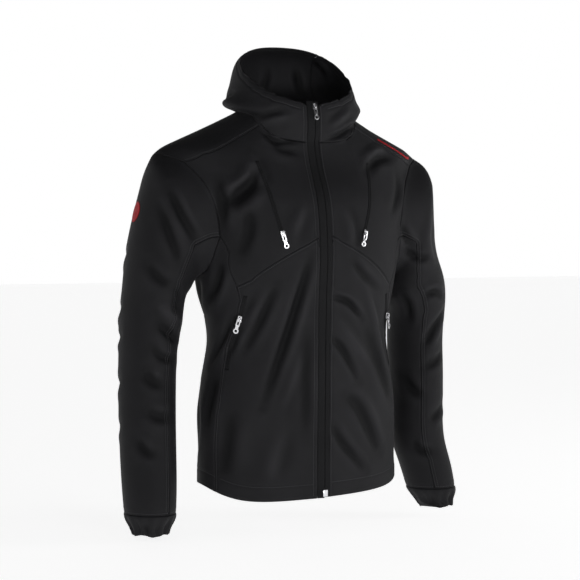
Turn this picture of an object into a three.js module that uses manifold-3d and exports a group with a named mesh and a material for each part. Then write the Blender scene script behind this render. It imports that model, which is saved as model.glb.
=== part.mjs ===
// Hooded softshell jacket, zipped up and filled out with no wearer inside.
// Millimetres. The front faces -Y, the wearer's right is -X, +Z is up. The origin is
// the centre of the neck, level with the neck ends of the shoulders.
// Every cloth piece is a wall whose outer points lie on one of three smooth forms: the
// body, the two sleeves and the hood. Each form runs through a short table of sections.
import * as THREE from 'three';
import { mergeVertices } from 'three/addons/utils/BufferGeometryUtils.js';
import Module from 'manifold-3d';

const wasm = await Module();
wasm.setup();

// Driving sizes
const CLOTH = 1.6; // thickness of the bonded softshell cloth
const SEAM_GAP = 0.3; // between neighbouring pieces
const ZIP_RIGHT = 15; // the right front's edge from the zip's middle
const ZIP_LEFT = 9; // the left front's edge, turned further over the tape
const ZIP_MIDDLE = 0.15;
const YOKE_BACK_Z = -118; // the back yoke seam at the centre back

// Body sections, from the hem up. half is the half width, front and back are the depths
// ahead of and behind the axis, side is how far the widest point lies behind the axis
const BODY = [
  { z: -712, half: 196, front: 106, back: 117, side: 2, power: 2.1 },
  { z: -690, half: 197, front: 107, back: 118, side: 2, power: 2.1 },
  { z: -600, half: 195, front: 107, back: 117, side: 3, power: 2.1 },
  { z: -530, half: 195, front: 108, back: 116, side: 3, power: 2.1 },
  { z: -470, half: 185, front: 109, back: 114, side: 4, power: 2.1 },
  { z: -415, half: 175, front: 110, back: 113, side: 5, power: 2.1 },
  { z: -380, half: 179, front: 111, back: 115, side: 6, power: 2.15 },
  { z: -340, half: 189, front: 112, back: 119, side: 8, power: 2.2 },
  { z: -300, half: 196, front: 115, back: 125, side: 10, power: 2.3 },
  { z: -265, half: 199, front: 118, back: 131, side: 13, power: 2.4 },
  { z: -215, half: 205, front: 115, back: 138, side: 19, power: 2.4 },
  { z: -160, half: 217, front: 106, back: 143, side: 29, power: 2.4 },
  { z: -115, half: 237, front: 84, back: 143, side: 39, power: 2.3 },
  { z: -90, half: 253, front: 73, back: 139, side: 46, power: 2.2 },
  { z: -75, half: 270, front: 69, back: 135, side: 50, power: 2.1 },
  { z: -61, half: 243, front: 67, back: 130, side: 50, power: 2.1 },
  { z: -43, half: 201, front: 62, back: 122, side: 50, power: 2.1 },
  { z: -22, half: 156, front: 56, back: 108, side: 45, power: 2.1 },
  { z: -1, half: 113, front: 49, back: 90, side: 36, power: 2.1 },
  { z: 14, half: 88, front: 42, back: 74, side: 28, power: 2.1 },
];

// Height of the neck seam round the neck, by the angle from the centre front
const NECK = [
  { angle: 0, z: -55 },
  { angle: 12, z: -52 },
  { angle: 26, z: -41 },
  { angle: 36, z: -23 },
  { angle: 50, z: -9 },
  { angle: 70, z: -2 },
  { angle: 90, z: 1 },
  { angle: 120, z: 6 },
  { angle: 150, z: 10 },
  { angle: 180, z: 12 },
];

// Height of the hem, dipping at the front and the back, on each side
const HEM = [
  { angle: 0, left: -697, right: -698 },
  { angle: 45, left: -689, right: -699 },
  { angle: 90, left: -672, right: -674 },
  { angle: 135, left: -684, right: -684 },
  { angle: 180, left: -692, right: -692 },
];

// Seams on the body, as distances from the centre plane and heights
const YOKE_SEAM = [{ x: 93, z: -22 }, { x: 141, z: -48 }, { x: 180, z: -69 }, { x: 212, z: -82 }];
const CHEST_SEAM = [{ x: 0, z: -219 }, { x: 97, z: -272 }, { x: 155, z: -318 }];
const SIDE_SEAM_TOP = [{ x: 173, z: -252 }, { x: 170, z: -289 }];
const SIDE_SEAM = [
  { x: 155, z: -318 },
  { x: 152, z: -340 },
  { x: 160, z: -400 },
  { x: 172, z: -461 },
  { x: 184, z: -560 },
  { x: 186, z: -712 },
];
const SIDE_BACK_HEM = 113; // angle of the side panel's back seam at the hem

// Armhole loop, turned from the shoulder tip forwards and down: an upright oval that
// leans back towards its top
const ARMHOLE = { middle: -186, rise: 111, front: 86, back: 60, y: 32, lean: 16 };

// Sleeve sections, from the shoulder to the cuff. outer and inner are the points furthest
// from and nearest to the body, front and back the depths; left and right shift a section
// of that one sleeve sideways
const SLEEVE = [
  { outerX: 285, outerZ: -92, innerX: 203, innerZ: -309, front: -48, back: 112, left: 0, right: -4 },
  { outerX: 296, outerZ: -136, innerX: 209, innerZ: -321, front: -46, back: 118, left: -5, right: -4 },
  { outerX: 303, outerZ: -190, innerX: 212, innerZ: -334, front: -42, back: 119, left: -6, right: 3 },
  { outerX: 313, outerZ: -250, innerX: 214, innerZ: -352, front: -35, back: 118, left: -8, right: 5 },
  { outerX: 322, outerZ: -312, innerX: 216, innerZ: -378, front: -28, back: 114, left: 9, right: 3 },
  { outerX: 328, outerZ: -372, innerX: 221, innerZ: -410, front: -19, back: 111, left: 5, right: 3 },
  { outerX: 330, outerZ: -430, innerX: 226, innerZ: -450, front: -15, back: 107, left: -1, right: 3 },
  { outerX: 332, outerZ: -492, innerX: 228, innerZ: -502, front: -15, back: 103, left: -1, right: 3 },
  { outerX: 333, outerZ: -560, innerX: 230, innerZ: -565, front: -18, back: 96, left: -5, right: 3 },
  { outerX: 334, outerZ: -622, innerX: 232, innerZ: -625, front: -24, back: 87, left: -9, right: 3 },
  { outerX: 334, outerZ: -678, innerX: 235, innerZ: -679, front: -31, back: 77, left: 4, right: 3 },
  { outerX: 334, outerZ: -720, innerX: 240, innerZ: -721, front: -34, back: 67, left: 9, right: 2 },
];

const SLEEVE_LENGTH = { left: 0.985, right: 1 }; // the left arm is bent a little more

// Turns of the points round a sleeve, from the front of the yoke over the front, the
// armpit, the back and the shoulder tip
const SLEEVE_TURNS = [35, 50, 65, 80, 95, 110, 136, 162, 188, 214, 240, 261, 282, 304, 325, 342, 360, 378];
const SIDE_FRONT = 5; // where the side panel's front seam and the sleeve's front seam start
const SIDE_BACK = 10; // where the side panel's back seam starts
const SLEEVE_BACK = 13; // the sleeve's back seam
const YOKE_BACK = 15; // where the back yoke seam starts
const SLEEVE_ROWS = 20;

// Elastic cuff: how far it runs below its seam and draws in, and its gathers
const CUFF = { length: 37, drawIn: 0.27, gathers: 13, depth: 2.6, steps: 54, rows: 3 };

// Hood: the first ring's share of the way up to the second, then rings by size and height
const HOOD_BASE = { half: 137, front: 69, back: 108, side: 30, power: 2.3, climb: 0.34 };
const HOOD = [
  { half: 118, front: 68, back: 124, side: 18, zFront: -6, zSide: 36, zBack: 46, power: 2.6 },
  { half: 111, front: 65, back: 120, side: 16, zFront: 8, zSide: 58, zBack: 92, power: 2.7 },
  { half: 107, front: 62, back: 98, side: 16, zFront: 15, zSide: 71, zBack: 121, power: 2.7 },
  { half: 105, front: 60, back: 70, side: 13, zFront: 19, zSide: 77, zBack: 128, power: 2.5 },
];
const HOOD_ROWS = 8;

// Largest folds of the body: a soft trough (depth under 0) or ridge along a line from one
// angle and height to another. Angles count from the centre front towards that side
const BODY_FOLDS = [
  { on: 'right', angle0: 8, z0: -300, angle1: 26, z1: -545, width: 13, depth: -4 },
  { on: 'right', angle0: 15, z0: -320, angle1: 38, z1: -440, width: 11, depth: -3 },
  { on: 'right', angle0: 3, z0: -430, angle1: 30, z1: -640, width: 15, depth: 3 },
  { on: 'right', angle0: 52, z0: -350, angle1: 66, z1: -560, width: 16, depth: -4 },
  { on: 'right', angle0: 28, z0: -120, angle1: 48, z1: -185, width: 15, depth: -4 },
  { on: 'right', angle0: 14, z0: -140, angle1: 26, z1: -235, width: 16, depth: 3 },
  { on: 'left', angle0: 4, z0: -335, angle1: 30, z1: -395, width: 12, depth: -4 },
  { on: 'left', angle0: 3, z0: -405, angle1: 34, z1: -500, width: 14, depth: -3 },
  { on: 'left', angle0: 6, z0: -545, angle1: 40, z1: -640, width: 15, depth: -4 },
  { on: 'left', angle0: 36, z0: -400, angle1: 62, z1: -520, width: 14, depth: 3 },
  { on: 'left', angle0: 26, z0: -130, angle1: 44, z1: -200, width: 16, depth: -3 },
  { on: 'left', angle0: 100, z0: -340, angle1: 150, z1: -430, width: 17, depth: -5 },
  { on: 'left', angle0: 110, z0: -420, angle1: 165, z1: -500, width: 15, depth: 3 },
  { on: 'left', angle0: 115, z0: -200, angle1: 150, z1: -300, width: 16, depth: -4 },
  { on: 'right', angle0: 96, z0: -330, angle1: 140, z1: -440, width: 16, depth: -5 },
  { on: 'right', angle0: 105, z0: -450, angle1: 170, z1: -520, width: 15, depth: -3 },
  { on: 'right', angle0: 118, z0: -190, angle1: 152, z1: -290, width: 17, depth: -4 },
  { on: 'right', angle0: 120, z0: -560, angle1: 165, z1: -640, width: 17, depth: 3 },
];

// A smooth curve through one named column of a table
function column(rows, along, name) {
  const up = rows[0][along] < rows[rows.length - 1][along] ? rows : [...rows].reverse();
  const x = up.map((row) => row[along]);
  const y = up.map((row) => row[name]);
  const last = x.length - 1;
  const slope = x.map((_, i) => {
    const a = Math.max(i - 1, 0);
    const b = Math.min(i + 1, last);
    return (y[b] - y[a]) / (x[b] - x[a]);
  });
  return (at) => {
    const p = THREE.MathUtils.clamp(at, x[0], x[last]);
    let i = 0;
    while (i < last - 1 && p > x[i + 1]) i += 1;
    const w = x[i + 1] - x[i];
    const s = (p - x[i]) / w;
    const s2 = s * s;
    const s3 = s2 * s;
    return (2 * s3 - 3 * s2 + 1) * y[i] + (s3 - 2 * s2 + s) * w * slope[i]
      + (3 * s2 - 2 * s3) * y[i + 1] + (s3 - s2) * w * slope[i + 1];
  };
}

const radians = THREE.MathUtils.degToRad;
const mix = THREE.MathUtils.lerp;
const signedPower = (value, power) => Math.sign(value) * Math.abs(value) ** power;

const body = Object.fromEntries(
  ['half', 'front', 'back', 'side', 'power'].map((name) => [name, column(BODY, 'z', name)]),
);
const neckZ = column(NECK, 'angle', 'z');

// A rounded oval ring: its point at an angle from the centre front
function oval(angle, half, front, back, side, power) {
  const c = Math.cos(radians(angle));
  const x = half * signedPower(Math.sin(radians(angle)), 2 / power);
  const ahead = signedPower(c, 2 / power);
  return [x, c > 0 ? side - ahead * (side + front) : side - ahead * (back - side)];
}

function plainBody(angle, z) {
  const [x, y] = oval(angle, body.half(z), body.front(z), body.back(z), body.side(z), body.power(z));
  return new THREE.Vector3(x, y, z);
}

// The unit normal of a form at two of its own measures, by small steps
function normalOf(form, a, b, stepA, stepB) {
  const da = form(a + stepA, b).sub(form(a - stepA, b));
  const db = form(a, b + stepB).sub(form(a, b - stepB));
  return da.cross(db).normalize();
}

// Height of a fold over its own line, falling away softly on both sides and at its ends
function foldAt(fold, along, across) {
  const { width, depth } = fold;
  const ends = THREE.MathUtils.smoothstep(along, 0, 0.25) * (1 - THREE.MathUtils.smoothstep(along, 0.7, 1));
  return depth * ends * Math.exp(-((across / width) ** 2));
}

const GIRTH_PER_DEGREE = 2.6; // cloth round the body for each degree, about

function bodyFold(angle, z) {
  return BODY_FOLDS.reduce((sum, fold) => {
    const sign = fold.on === 'left' ? 1 : -1;
    const at = new THREE.Vector2(angle * sign * GIRTH_PER_DEGREE, z);
    const from = new THREE.Vector2(fold.angle0 * GIRTH_PER_DEGREE, fold.z0);
    const to = new THREE.Vector2(fold.angle1 * GIRTH_PER_DEGREE, fold.z1);
    const line = to.clone().sub(from);
    const reach = at.sub(from);
    const along = reach.dot(line) / line.lengthSq();
    const across = reach.cross(line) / line.length();
    return sum + foldAt(fold, along, across);
  }, 0);
}

function bodyPoint(angle, z) {
  const point = plainBody(angle, z);
  const lift = bodyFold(angle, z);
  if (Math.abs(lift) < 0.01) return point;
  return point.addScaledVector(normalOf(plainBody, angle, z, 0.5, 1.5), lift);
}

const bodyNormal = (angle, z) => normalOf(bodyPoint, angle, z, 0.6, 2);

// The angle at which the body is so far to the side at this height
function angleAtX(x, z) {
  const share = THREE.MathUtils.clamp(Math.abs(x) / body.half(z), 0, 1);
  return Math.sign(x) * THREE.MathUtils.radToDeg(Math.asin(share ** (body.power(z) / 2)));
}

// The angle at which the body is so far ahead or behind at this height, on the left
function angleAtY(y, z) {
  const side = body.side(z);
  const depth = y < side ? side + body.front(z) : body.back(z) - side;
  const share = THREE.MathUtils.clamp((side - y) / depth, -1, 1);
  return THREE.MathUtils.radToDeg(Math.acos(signedPower(share, body.power(z) / 2)));
}

// Whether a four-sided facet is split from its first corner: along its shorter diagonal
const splitsFromFirst = ([a, b, c, d]) => a.distanceTo(c) <= b.distanceTo(d);

// A wall of cloth: outer points in a grid, one direction for each, through its thickness.
// A grid that closes on itself round the first way is a tube
function wallGeometry(points, through, closed) {
  const columns = points.length;
  const rows = points[0].length;
  const index = (i, j, layer) => (((i % columns) * rows + j) * 2 + layer);
  const position = [];
  points.forEach((line, i) => line.forEach((point, j) => {
    position.push(...point.toArray(), ...point.clone().add(through[i][j]).toArray());
  }));
  const faces = [];
  const quad = (a, b, c, d) => faces.push(a, b, c, a, c, d);
  const at = (k) => new THREE.Vector3().fromArray(position, k * 3);
  const rim = (...corners) => {
    if (!splitsFromFirst(corners.map(at))) corners.push(corners.shift());
    quad(...corners);
  };
  const spans = closed ? columns : columns - 1;
  for (let i = 0; i < spans; i += 1) {
    for (let j = 0; j < rows - 1; j += 1) {
      const near = [[i, j], [i + 1, j], [i + 1, j + 1], [i, j + 1]];
      if (!splitsFromFirst(near.map(([k, m]) => points[k % columns][m]))) near.push(near.shift());
      quad(...near.map(([k, m]) => index(k, m, 0)));
      const far = [near[0], near[3], near[2], near[1]];
      quad(...far.map(([k, m]) => index(k, m, 1)));
    }
    rim(index(i, 0, 1), index(i + 1, 0, 1), index(i + 1, 0, 0), index(i, 0, 0));
    rim(index(i, rows - 1, 0), index(i + 1, rows - 1, 0), index(i + 1, rows - 1, 1), index(i, rows - 1, 1));
  }
  if (!closed) {
    for (let j = 0; j < rows - 1; j += 1) {
      rim(index(0, j, 0), index(0, j + 1, 0), index(0, j + 1, 1), index(0, j, 1));
      const end = columns - 1;
      rim(index(end, j, 1), index(end, j + 1, 1), index(end, j + 1, 0), index(end, j, 0));
    }
  }
  return facingOut(position, faces);
}

// Turns the faces over if they enclose a negative volume
function facingOut(position, faces) {
  const corner = (k) => new THREE.Vector3().fromArray(position, faces[k] * 3);
  let volume = 0;
  for (let k = 0; k < faces.length; k += 3) {
    volume += corner(k).dot(corner(k + 1).cross(corner(k + 2)));
  }
  const geometry = new THREE.BufferGeometry();
  geometry.setAttribute('position', new THREE.Float32BufferAttribute(position, 3));
  geometry.setIndex(volume > 0 ? faces : faces.reverse());
  geometry.computeVertexNormals();
  return geometry;
}

// Moves a grid's edges in by half the seam gap, across each edge
function drawEdgesIn(points, closed) {
  const columns = points.length;
  const rows = points[0].length;
  const at = (i, j) => points[closed ? (i + columns) % columns : THREE.MathUtils.clamp(i, 0, columns - 1)][
    THREE.MathUtils.clamp(j, 0, rows - 1)];
  const across = (here, inward, before, after) => {
    const edge = after.clone().sub(before).normalize();
    const way = inward.clone().sub(here);
    return way.addScaledVector(edge, -way.dot(edge)).normalize();
  };
  return points.map((line, i) => line.map((point, j) => {
    const ways = [];
    if (j === 0) ways.push(across(point, at(i, 1), at(i - 1, 0), at(i + 1, 0)));
    if (j === rows - 1) ways.push(across(point, at(i, rows - 2), at(i - 1, j), at(i + 1, j)));
    if (!closed && i === 0) ways.push(across(point, at(1, j), at(0, j - 1), at(0, j + 1)));
    if (!closed && i === columns - 1) ways.push(across(point, at(i - 1, j), at(i, j - 1), at(i, j + 1)));
    if (ways.length === 0) return point.clone();
    const sum = ways.reduce((total, way) => total.add(way), new THREE.Vector3());
    const share = ways.length === 2 ? 1 + ways[0].dot(ways[1]) : 1;
    return point.clone().addScaledVector(sum, SEAM_GAP / 2 / share);
  }));
}

// Pairs of an angle and a height on the body, mirrored to the other side for side -1
const mirrored = (pairs, side) => pairs.map(([angle, z]) => [side > 0 ? angle : 360 - angle, z]);
const steps = (count) => Array.from({ length: count + 1 }, (_, i) => i / count);
const hemZ = { left: column(HEM, 'angle', 'left'), right: column(HEM, 'angle', 'right') };
const atX = (x, z) => [angleAtX(x, z), z];

// A line through a table of distances and heights, in so many steps by distance or height
function tracedBy(table, name, from, to, count) {
  const other = column(table, name, name === 'x' ? 'z' : 'x');
  return steps(count).map((share) => {
    const value = mix(from, to, share);
    return name === 'x' ? atX(value, other(value)) : atX(other(value), value);
  });
}

function armhole(turn) {
  const s = Math.sin(radians(turn));
  const z = ARMHOLE.middle + ARMHOLE.rise * Math.cos(radians(turn));
  const y = ARMHOLE.y + ARMHOLE.lean * Math.cos(radians(turn)) - (s > 0 ? ARMHOLE.front : ARMHOLE.back) * s;
  return [angleAtY(y, z), z];
}

const armholeRun = (from, to) => {
  const run = [];
  const way = Math.sign(to - from);
  for (let k = from; k !== to + way; k += way) run.push(armhole(SLEEVE_TURNS[k % SLEEVE_TURNS.length]));
  return run;
};

// The body's angle in the direction of a point at its own height
function angleOf([x, y, z]) {
  const side = body.side(z);
  const power = body.power(z) / 2;
  const ahead = (side - y) / (y < side ? side + body.front(z) : body.back(z) - side);
  const turn = Math.atan2(signedPower(x / body.half(z), power), signedPower(ahead, power));
  return (THREE.MathUtils.radToDeg(turn) + 360) % 360;
}

// Fills a four-sided piece between its edges, in the measures its edges are given in
function filled(top, bottom, start, end) {
  return top.map((_, i) => start.map((__, j) => {
    const u = i / (top.length - 1);
    const v = j / (start.length - 1);
    return start[0].map((___, k) => {
      const corners = mix(
        mix(start[0][k], end[0][k], u),
        mix(start[start.length - 1][k], end[end.length - 1][k], u),
        v,
      );
      return mix(top[i][k], bottom[i][k], v) + mix(start[j][k], end[j][k], u) - corners;
    });
  }));
}

// The angle and height of the body's nearest point
function nearestOnBody(target) {
  const point = new THREE.Vector3(...target);
  let angle = angleOf(target);
  let z = target[2];
  for (let round = 0; round < 12; round += 1) {
    const miss = point.clone().sub(plainBody(angle, z));
    const turned = plainBody(angle + 0.5, z).sub(plainBody(angle - 0.5, z));
    const raised = plainBody(angle, z + 1).sub(plainBody(angle, z - 1)).divideScalar(2);
    const both = turned.dot(raised);
    const size = turned.lengthSq() * raised.lengthSq() - both * both;
    const a = miss.dot(turned);
    const b = miss.dot(raised);
    angle += THREE.MathUtils.clamp((a * raised.lengthSq() - b * both) / size, -4, 4) * 0.7;
    z += THREE.MathUtils.clamp((b * turned.lengthSq() - a * both) / size, -6, 6) * 0.7;
  }
  return [angle, z];
}

// The same for pieces near the shoulders: filled in space, then laid on the body
function filledInSpace(...edges) {
  const [top, bottom, start, end] = edges;
  const grid = filled(...edges.map((edge) => edge.map((pair) => plainBody(...pair).toArray())));
  const last = [top.length - 1, start.length - 1];
  return grid.map((line, i) => line.map((point, j) => {
    if (j === 0) return top[i];
    if (j === last[1]) return bottom[i];
    if (i === 0) return start[j];
    if (i === last[0]) return end[j];
    return nearestOnBody(point);
  }));
}

// Length of cloth from the neck down to a height, and back
const REACH = [];
[...BODY].reverse().forEach(({ z, half }, i) => {
  const above = REACH[i - 1];
  const run = above ? Math.hypot((half - above.half) * 0.8, z - above.z) : 0;
  REACH.push({ z, half, reach: above ? above.reach + run : 0 });
});
const reachAt = column(REACH, 'z', 'reach');
const heightAt = column(REACH, 'reach', 'z');

// The same for the yoke: filled by angle and length of cloth
function filledByReach(...edges) {
  const [top, bottom, start, end] = edges;
  const grid = filled(...edges.map((edge) => edge.map(([angle, z]) => [angle, reachAt(z)])));
  const last = [top.length - 1, start.length - 1];
  return grid.map((line, i) => line.map(([angle, reach], j) => {
    if (j === 0) return top[i];
    if (j === last[1]) return bottom[i];
    if (i === 0) return start[j];
    if (i === last[0]) return end[j];
    return [angle, heightAt(reach)];
  }));
}

// The edges of one side's pieces. Each seam is one list, which both its pieces use
function edgesOf(zipEdge, hem) {
  const yokeEnd = armhole(SLEEVE_TURNS[0]);
  const neckStart = angleAtX(zipEdge, neckZ(6));
  const neckFront = steps(3).map((share) => {
    const angle = mix(neckStart, 36, share);
    return [angle, neckZ(angle)];
  });
  const yokeTable = [...YOKE_SEAM];
  const endX = plainBody(...yokeEnd).x;
  yokeTable.push({ x: endX, z: yokeEnd[1] });
  const yokeSeam = tracedBy(yokeTable, 'x', YOKE_SEAM[0].x, endX, 5);
  yokeSeam[0] = neckFront[3];
  yokeSeam[5] = yokeEnd;
  const chestSeam = tracedBy(CHEST_SEAM, 'x', zipEdge, 155, 8);
  const corner = chestSeam[8];
  const sideTop = [armhole(SLEEVE_TURNS[SIDE_FRONT]), ...SIDE_SEAM_TOP.map(({ x, z }) => atX(x, z)), corner];
  const sideX = column(SIDE_SEAM, 'z', 'x');
  const hemCorner = angleAtX(sideX(-690), -690);
  const sideLow = steps(16).map((share) => {
    const z = mix(corner[1], hem(hemCorner), share);
    return atX(sideX(z), z);
  });
  sideLow[0] = corner;
  const zipChest = steps(8).map((share) => atX(zipEdge, mix(neckFront[0][1], chestSeam[0][1], share)));
  zipChest[0] = neckFront[0];
  zipChest[8] = chestSeam[0];
  const zipLow = steps(16).map((share) => atX(zipEdge, mix(chestSeam[0][1], hem(3), share)));
  zipLow[0] = chestSeam[0];
  const sideBackTop = armhole(SLEEVE_TURNS[SIDE_BACK]);
  const sideBack = steps(19).map((share) => {
    const angle = mix(sideBackTop[0], SIDE_BACK_HEM, Math.min(1, share * 2));
    return [angle, mix(sideBackTop[1], hem(SIDE_BACK_HEM), share)];
  });
  const hemRun = (from, to, count) => steps(count).map((share) => {
    const angle = mix(from[0], to[0], share);
    return [angle, share === 0 ? from[1] : share === 1 ? to[1] : hem(angle)];
  });
  return {
    neckFront,
    yokeSeam,
    chestSeam,
    side: [...sideTop, ...sideLow.slice(1)],
    sideTop,
    sideLow,
    zipChest,
    zipLow,
    sideBack,
    hemFront: hemRun(zipLow[16], sideLow[16], 8),
    hemSide: hemRun(sideLow[16], sideBack[19], 5),
  };
}

const EDGES = { left: edgesOf(ZIP_LEFT, hemZ.left), right: edgesOf(ZIP_RIGHT, hemZ.right) };
const SIDES = { left: 1, right: -1 };

const backTop = armhole(SLEEVE_TURNS[YOKE_BACK]);
const backSeam = steps(16).map((share) => {
  const angle = mix(backTop[0], 360 - backTop[0], share);
  const rise = (1 - Math.cos(radians(360 * share))) / 2;
  return [angle, mix(backTop[1], YOKE_BACK_Z, rise)];
});
const backEdge = [...armholeRun(SIDE_BACK, YOKE_BACK).reverse(), ...EDGES.left.sideBack.slice(1)];
const hemBack = steps(16).map((share) => {
  const angle = mix(SIDE_BACK_HEM, 360 - SIDE_BACK_HEM, share);
  return [angle, angle > 180 ? hemZ.right(360 - angle) : hemZ.left(angle)];
});
const neckBack = steps(22).map((share) => {
  const angle = mix(36, 324, share);
  return [angle, neckZ(angle > 180 ? 360 - angle : angle)];
});

const bodyPatches = {};
Object.entries(EDGES).forEach(([name, edge]) => {
  const side = SIDES[name];
  bodyPatches[`chest_${name}`] = mirroredGrid(filledInSpace(
    [...edge.neckFront, ...edge.yokeSeam.slice(1)],
    edge.chestSeam,
    edge.zipChest,
    [...armholeRun(0, SIDE_FRONT), ...edge.sideTop.slice(1)],
  ), side);
  bodyPatches[`front_${name}`] = mirroredGrid(
    filled(edge.chestSeam, edge.hemFront, edge.zipLow, edge.sideLow),
    side,
  );
  bodyPatches[`side_${name}`] = mirroredGrid(
    filled(armholeRun(SIDE_FRONT, SIDE_BACK), edge.hemSide, edge.side, edge.sideBack),
    side,
  );
});
const backEdgeRight = [...backEdge.slice(0, -19), ...EDGES.right.sideBack.slice(1)];
bodyPatches.back = filled(backSeam, hemBack, backEdge, mirrored(backEdgeRight, -1));
const overShoulder = armholeRun(YOKE_BACK, SLEEVE_TURNS.length);
bodyPatches.yoke = filledByReach(
  neckBack,
  [...[...overShoulder].reverse(), ...backSeam.slice(1, -1), ...mirrored(overShoulder, -1)],
  EDGES.left.yokeSeam,
  mirrored(EDGES.right.yokeSeam, -1),
);

function mirroredGrid(grid, side) {
  return grid.map((line) => mirrored(line, side));
}

// Unit normals of a grid of points, across its neighbours
function gridNormals(points, closed) {
  const columns = points.length;
  return points.map((line, i) => line.map((_, j) => {
    const before = closed ? points[(i + columns - 1) % columns] : points[Math.max(i - 1, 0)];
    const after = closed ? points[(i + 1) % columns] : points[Math.min(i + 1, columns - 1)];
    const down = line[Math.min(j + 1, line.length - 1)].clone().sub(line[Math.max(j - 1, 0)]);
    return after[j].clone().sub(before[j]).cross(down).normalize();
  }));
}

const keyOf = (point) => point.toArray().map((value) => Math.round(value * 50)).join();

// Normals at the points of grids that join up, from the facets round each point. about
// gives each grid's rough normals, which say which way is out
function facetNormals(grids, about, closed) {
  const sums = new Map();
  grids.forEach((grid, g) => {
    const facets = [];
    let outward = 0;
    const spans = closed ? grid.length : grid.length - 1;
    for (let i = 0; i < spans; i += 1) {
      for (let j = 0; j < grid[0].length - 1; j += 1) {
        const next = grid[(i + 1) % grid.length];
        const corners = [grid[i][j], next[j], next[j + 1], grid[i][j + 1]];
        if (!splitsFromFirst(corners)) corners.push(corners.shift());
        [[0, 1, 2], [0, 2, 3]].forEach((trio) => {
          const [a, b, c] = trio.map((k) => corners[k]);
          const normal = b.clone().sub(a).cross(c.clone().sub(a));
          outward += normal.dot(about[g][i][j]);
          facets.push({ normal, corners: [a, b, c] });
        });
      }
    }
    facets.forEach(({ normal, corners }) => corners.forEach((corner) => {
      const key = keyOf(corner);
      if (!sums.has(key)) sums.set(key, new THREE.Vector3());
      sums.get(key).addScaledVector(normal, Math.sign(outward));
    }));
  });
  const normalAt = (point) => sums.get(keyOf(point)).clone().normalize();
  return grids.map((grid) => grid.map((line) => line.map(normalAt)));
}

// A whole sleeve, from the armhole loop to the cuff seam
function sleeveForm(side, name) {
  const rows = SLEEVE_TURNS.map((turn) => {
    const c = Math.cos(radians(turn));
    const s = Math.sin(radians(turn));
    const [angle, z] = armhole(turn);
    const along = [bodyPoint(side > 0 ? angle : 360 - angle, z)];
    SLEEVE.forEach((row) => {
      const x = mix(row.innerX, row.outerX, (1 + c) / 2) + row[name];
      const y = mix(row.front, row.back, (1 - s) / 2);
      const drop = mix(row.innerZ, row.outerZ, (1 + c) / 2);
      along.push(new THREE.Vector3(side * x, y, drop * SLEEVE_LENGTH[name]));
    });
    const line = new THREE.CatmullRomCurve3(along, false, 'centripetal');
    return steps(SLEEVE_ROWS).map((share) => line.getPoint(share));
  });
  const about = gridNormals(rows, true).map((line) => line.map((n) => n.multiplyScalar(side)));
  return { points: rows, normals: facetNormals([rows], [about], true)[0] };
}

const zipAngle = (x, half, power) => THREE.MathUtils.radToDeg(Math.asin((x / half) ** (power / 2)));

// A point of the hood by its angle at the neck seam and its ring, 0 at the first ring
function hoodRing(angle, ring, edgeAngle, zipEdge) {
  const row = ring < 0 ? HOOD_BASE : HOOD[ring];
  const start = zipAngle(zipEdge, row.half, row.power);
  const turn = start + ((angle - edgeAngle) * (180 - start)) / (180 - edgeAngle);
  const [x, y] = oval(turn, row.half, row.front, row.back, row.side, row.power);
  if (ring < 0) {
    const above = hoodRing(angle, 0, edgeAngle, zipEdge);
    return new THREE.Vector3(x, y, mix(neckZ(angle), above.z, row.climb));
  }
  const c = Math.cos(radians(turn));
  const z = c > 0 ? mix(row.zSide, row.zFront, c) : mix(row.zSide, row.zBack, -c);
  return new THREE.Vector3(x, y, z);
}

function hoodLine(pair, side, edge, zipEdge) {
  const edgeAngle = edge.neckFront[0][0];
  const angle = side > 0 ? pair[0] : 360 - pair[0];
  const along = [bodyPoint(...pair)];
  for (let ring = -1; ring < HOOD.length; ring += 1) {
    const point = hoodRing(angle, ring, edgeAngle, zipEdge);
    point.x *= side;
    along.push(point);
  }
  const line = new THREE.CatmullRomCurve3(along, false, 'centripetal');
  return steps(HOOD_ROWS).map((share) => line.getPoint(share));
}

const neckLeft = EDGES.left.neckFront;
const neckRight = mirrored(EDGES.right.neckFront, -1).reverse();
const neckLoop = [...neckLeft, ...neckBack.slice(1, -1), ...neckRight];
const hoodPoints = neckLoop.map((pair) => (pair[0] <= 180
  ? hoodLine(pair, 1, EDGES.left, ZIP_LEFT)
  : hoodLine(pair, -1, EDGES.right, ZIP_RIGHT)));
const hoodForm = {
  points: hoodPoints,
  normals: facetNormals([hoodPoints], [gridNormals(hoodPoints, false)], false)[0],
};

const sleeveForms = {
  left: sleeveForm(1, 'left'),
  right: sleeveForm(-1, 'right'),
};

// Where two forms meet at an angle, both walls go through along the line between them
const mitres = new Map();
const patchNames = Object.keys(bodyPatches);
const patchPoints = patchNames.map((name) =>
  bodyPatches[name].map((line) => line.map((pair) => bodyPoint(...pair))));
const patchNormals = facetNormals(
  patchPoints,
  patchNames.map((name) => bodyPatches[name].map((line) => line.map((pair) => bodyNormal(...pair)))),
  false,
);
const bodyFacets = new Map();
patchPoints.forEach((grid, g) => grid.forEach((line, i) => line.forEach((point, j) => {
  bodyFacets.set(keyOf(point), patchNormals[g][i][j]);
})));
function mitre(point, one, other) {
  const way = one.clone().add(other).normalize();
  mitres.set(keyOf(point), way.multiplyScalar(-CLOTH / Math.max(way.dot(one), 0.4)));
}
const seamWithBody = ({ points, normals }) => points.forEach(([start], k) => {
  mitre(start, bodyFacets.get(keyOf(start)), normals[k][0]);
});
Object.values(sleeveForms).forEach(seamWithBody);
seamWithBody(hoodForm);

function throughOf(points, normals) {
  return points.map((line, i) => line.map((point, j) => (
    mitres.get(keyOf(point)) ?? normals[i][j].clone().multiplyScalar(-CLOTH))));
}

// Materials and the group
const group = new THREE.Group();
const colour = (r, g, b) => new THREE.Color(r, g, b);
function cloth() {
  return new THREE.MeshStandardMaterial({ color: colour(0.018, 0.018, 0.02), roughness: 0.78, metalness: 0 });
}
const outers = {};

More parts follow.
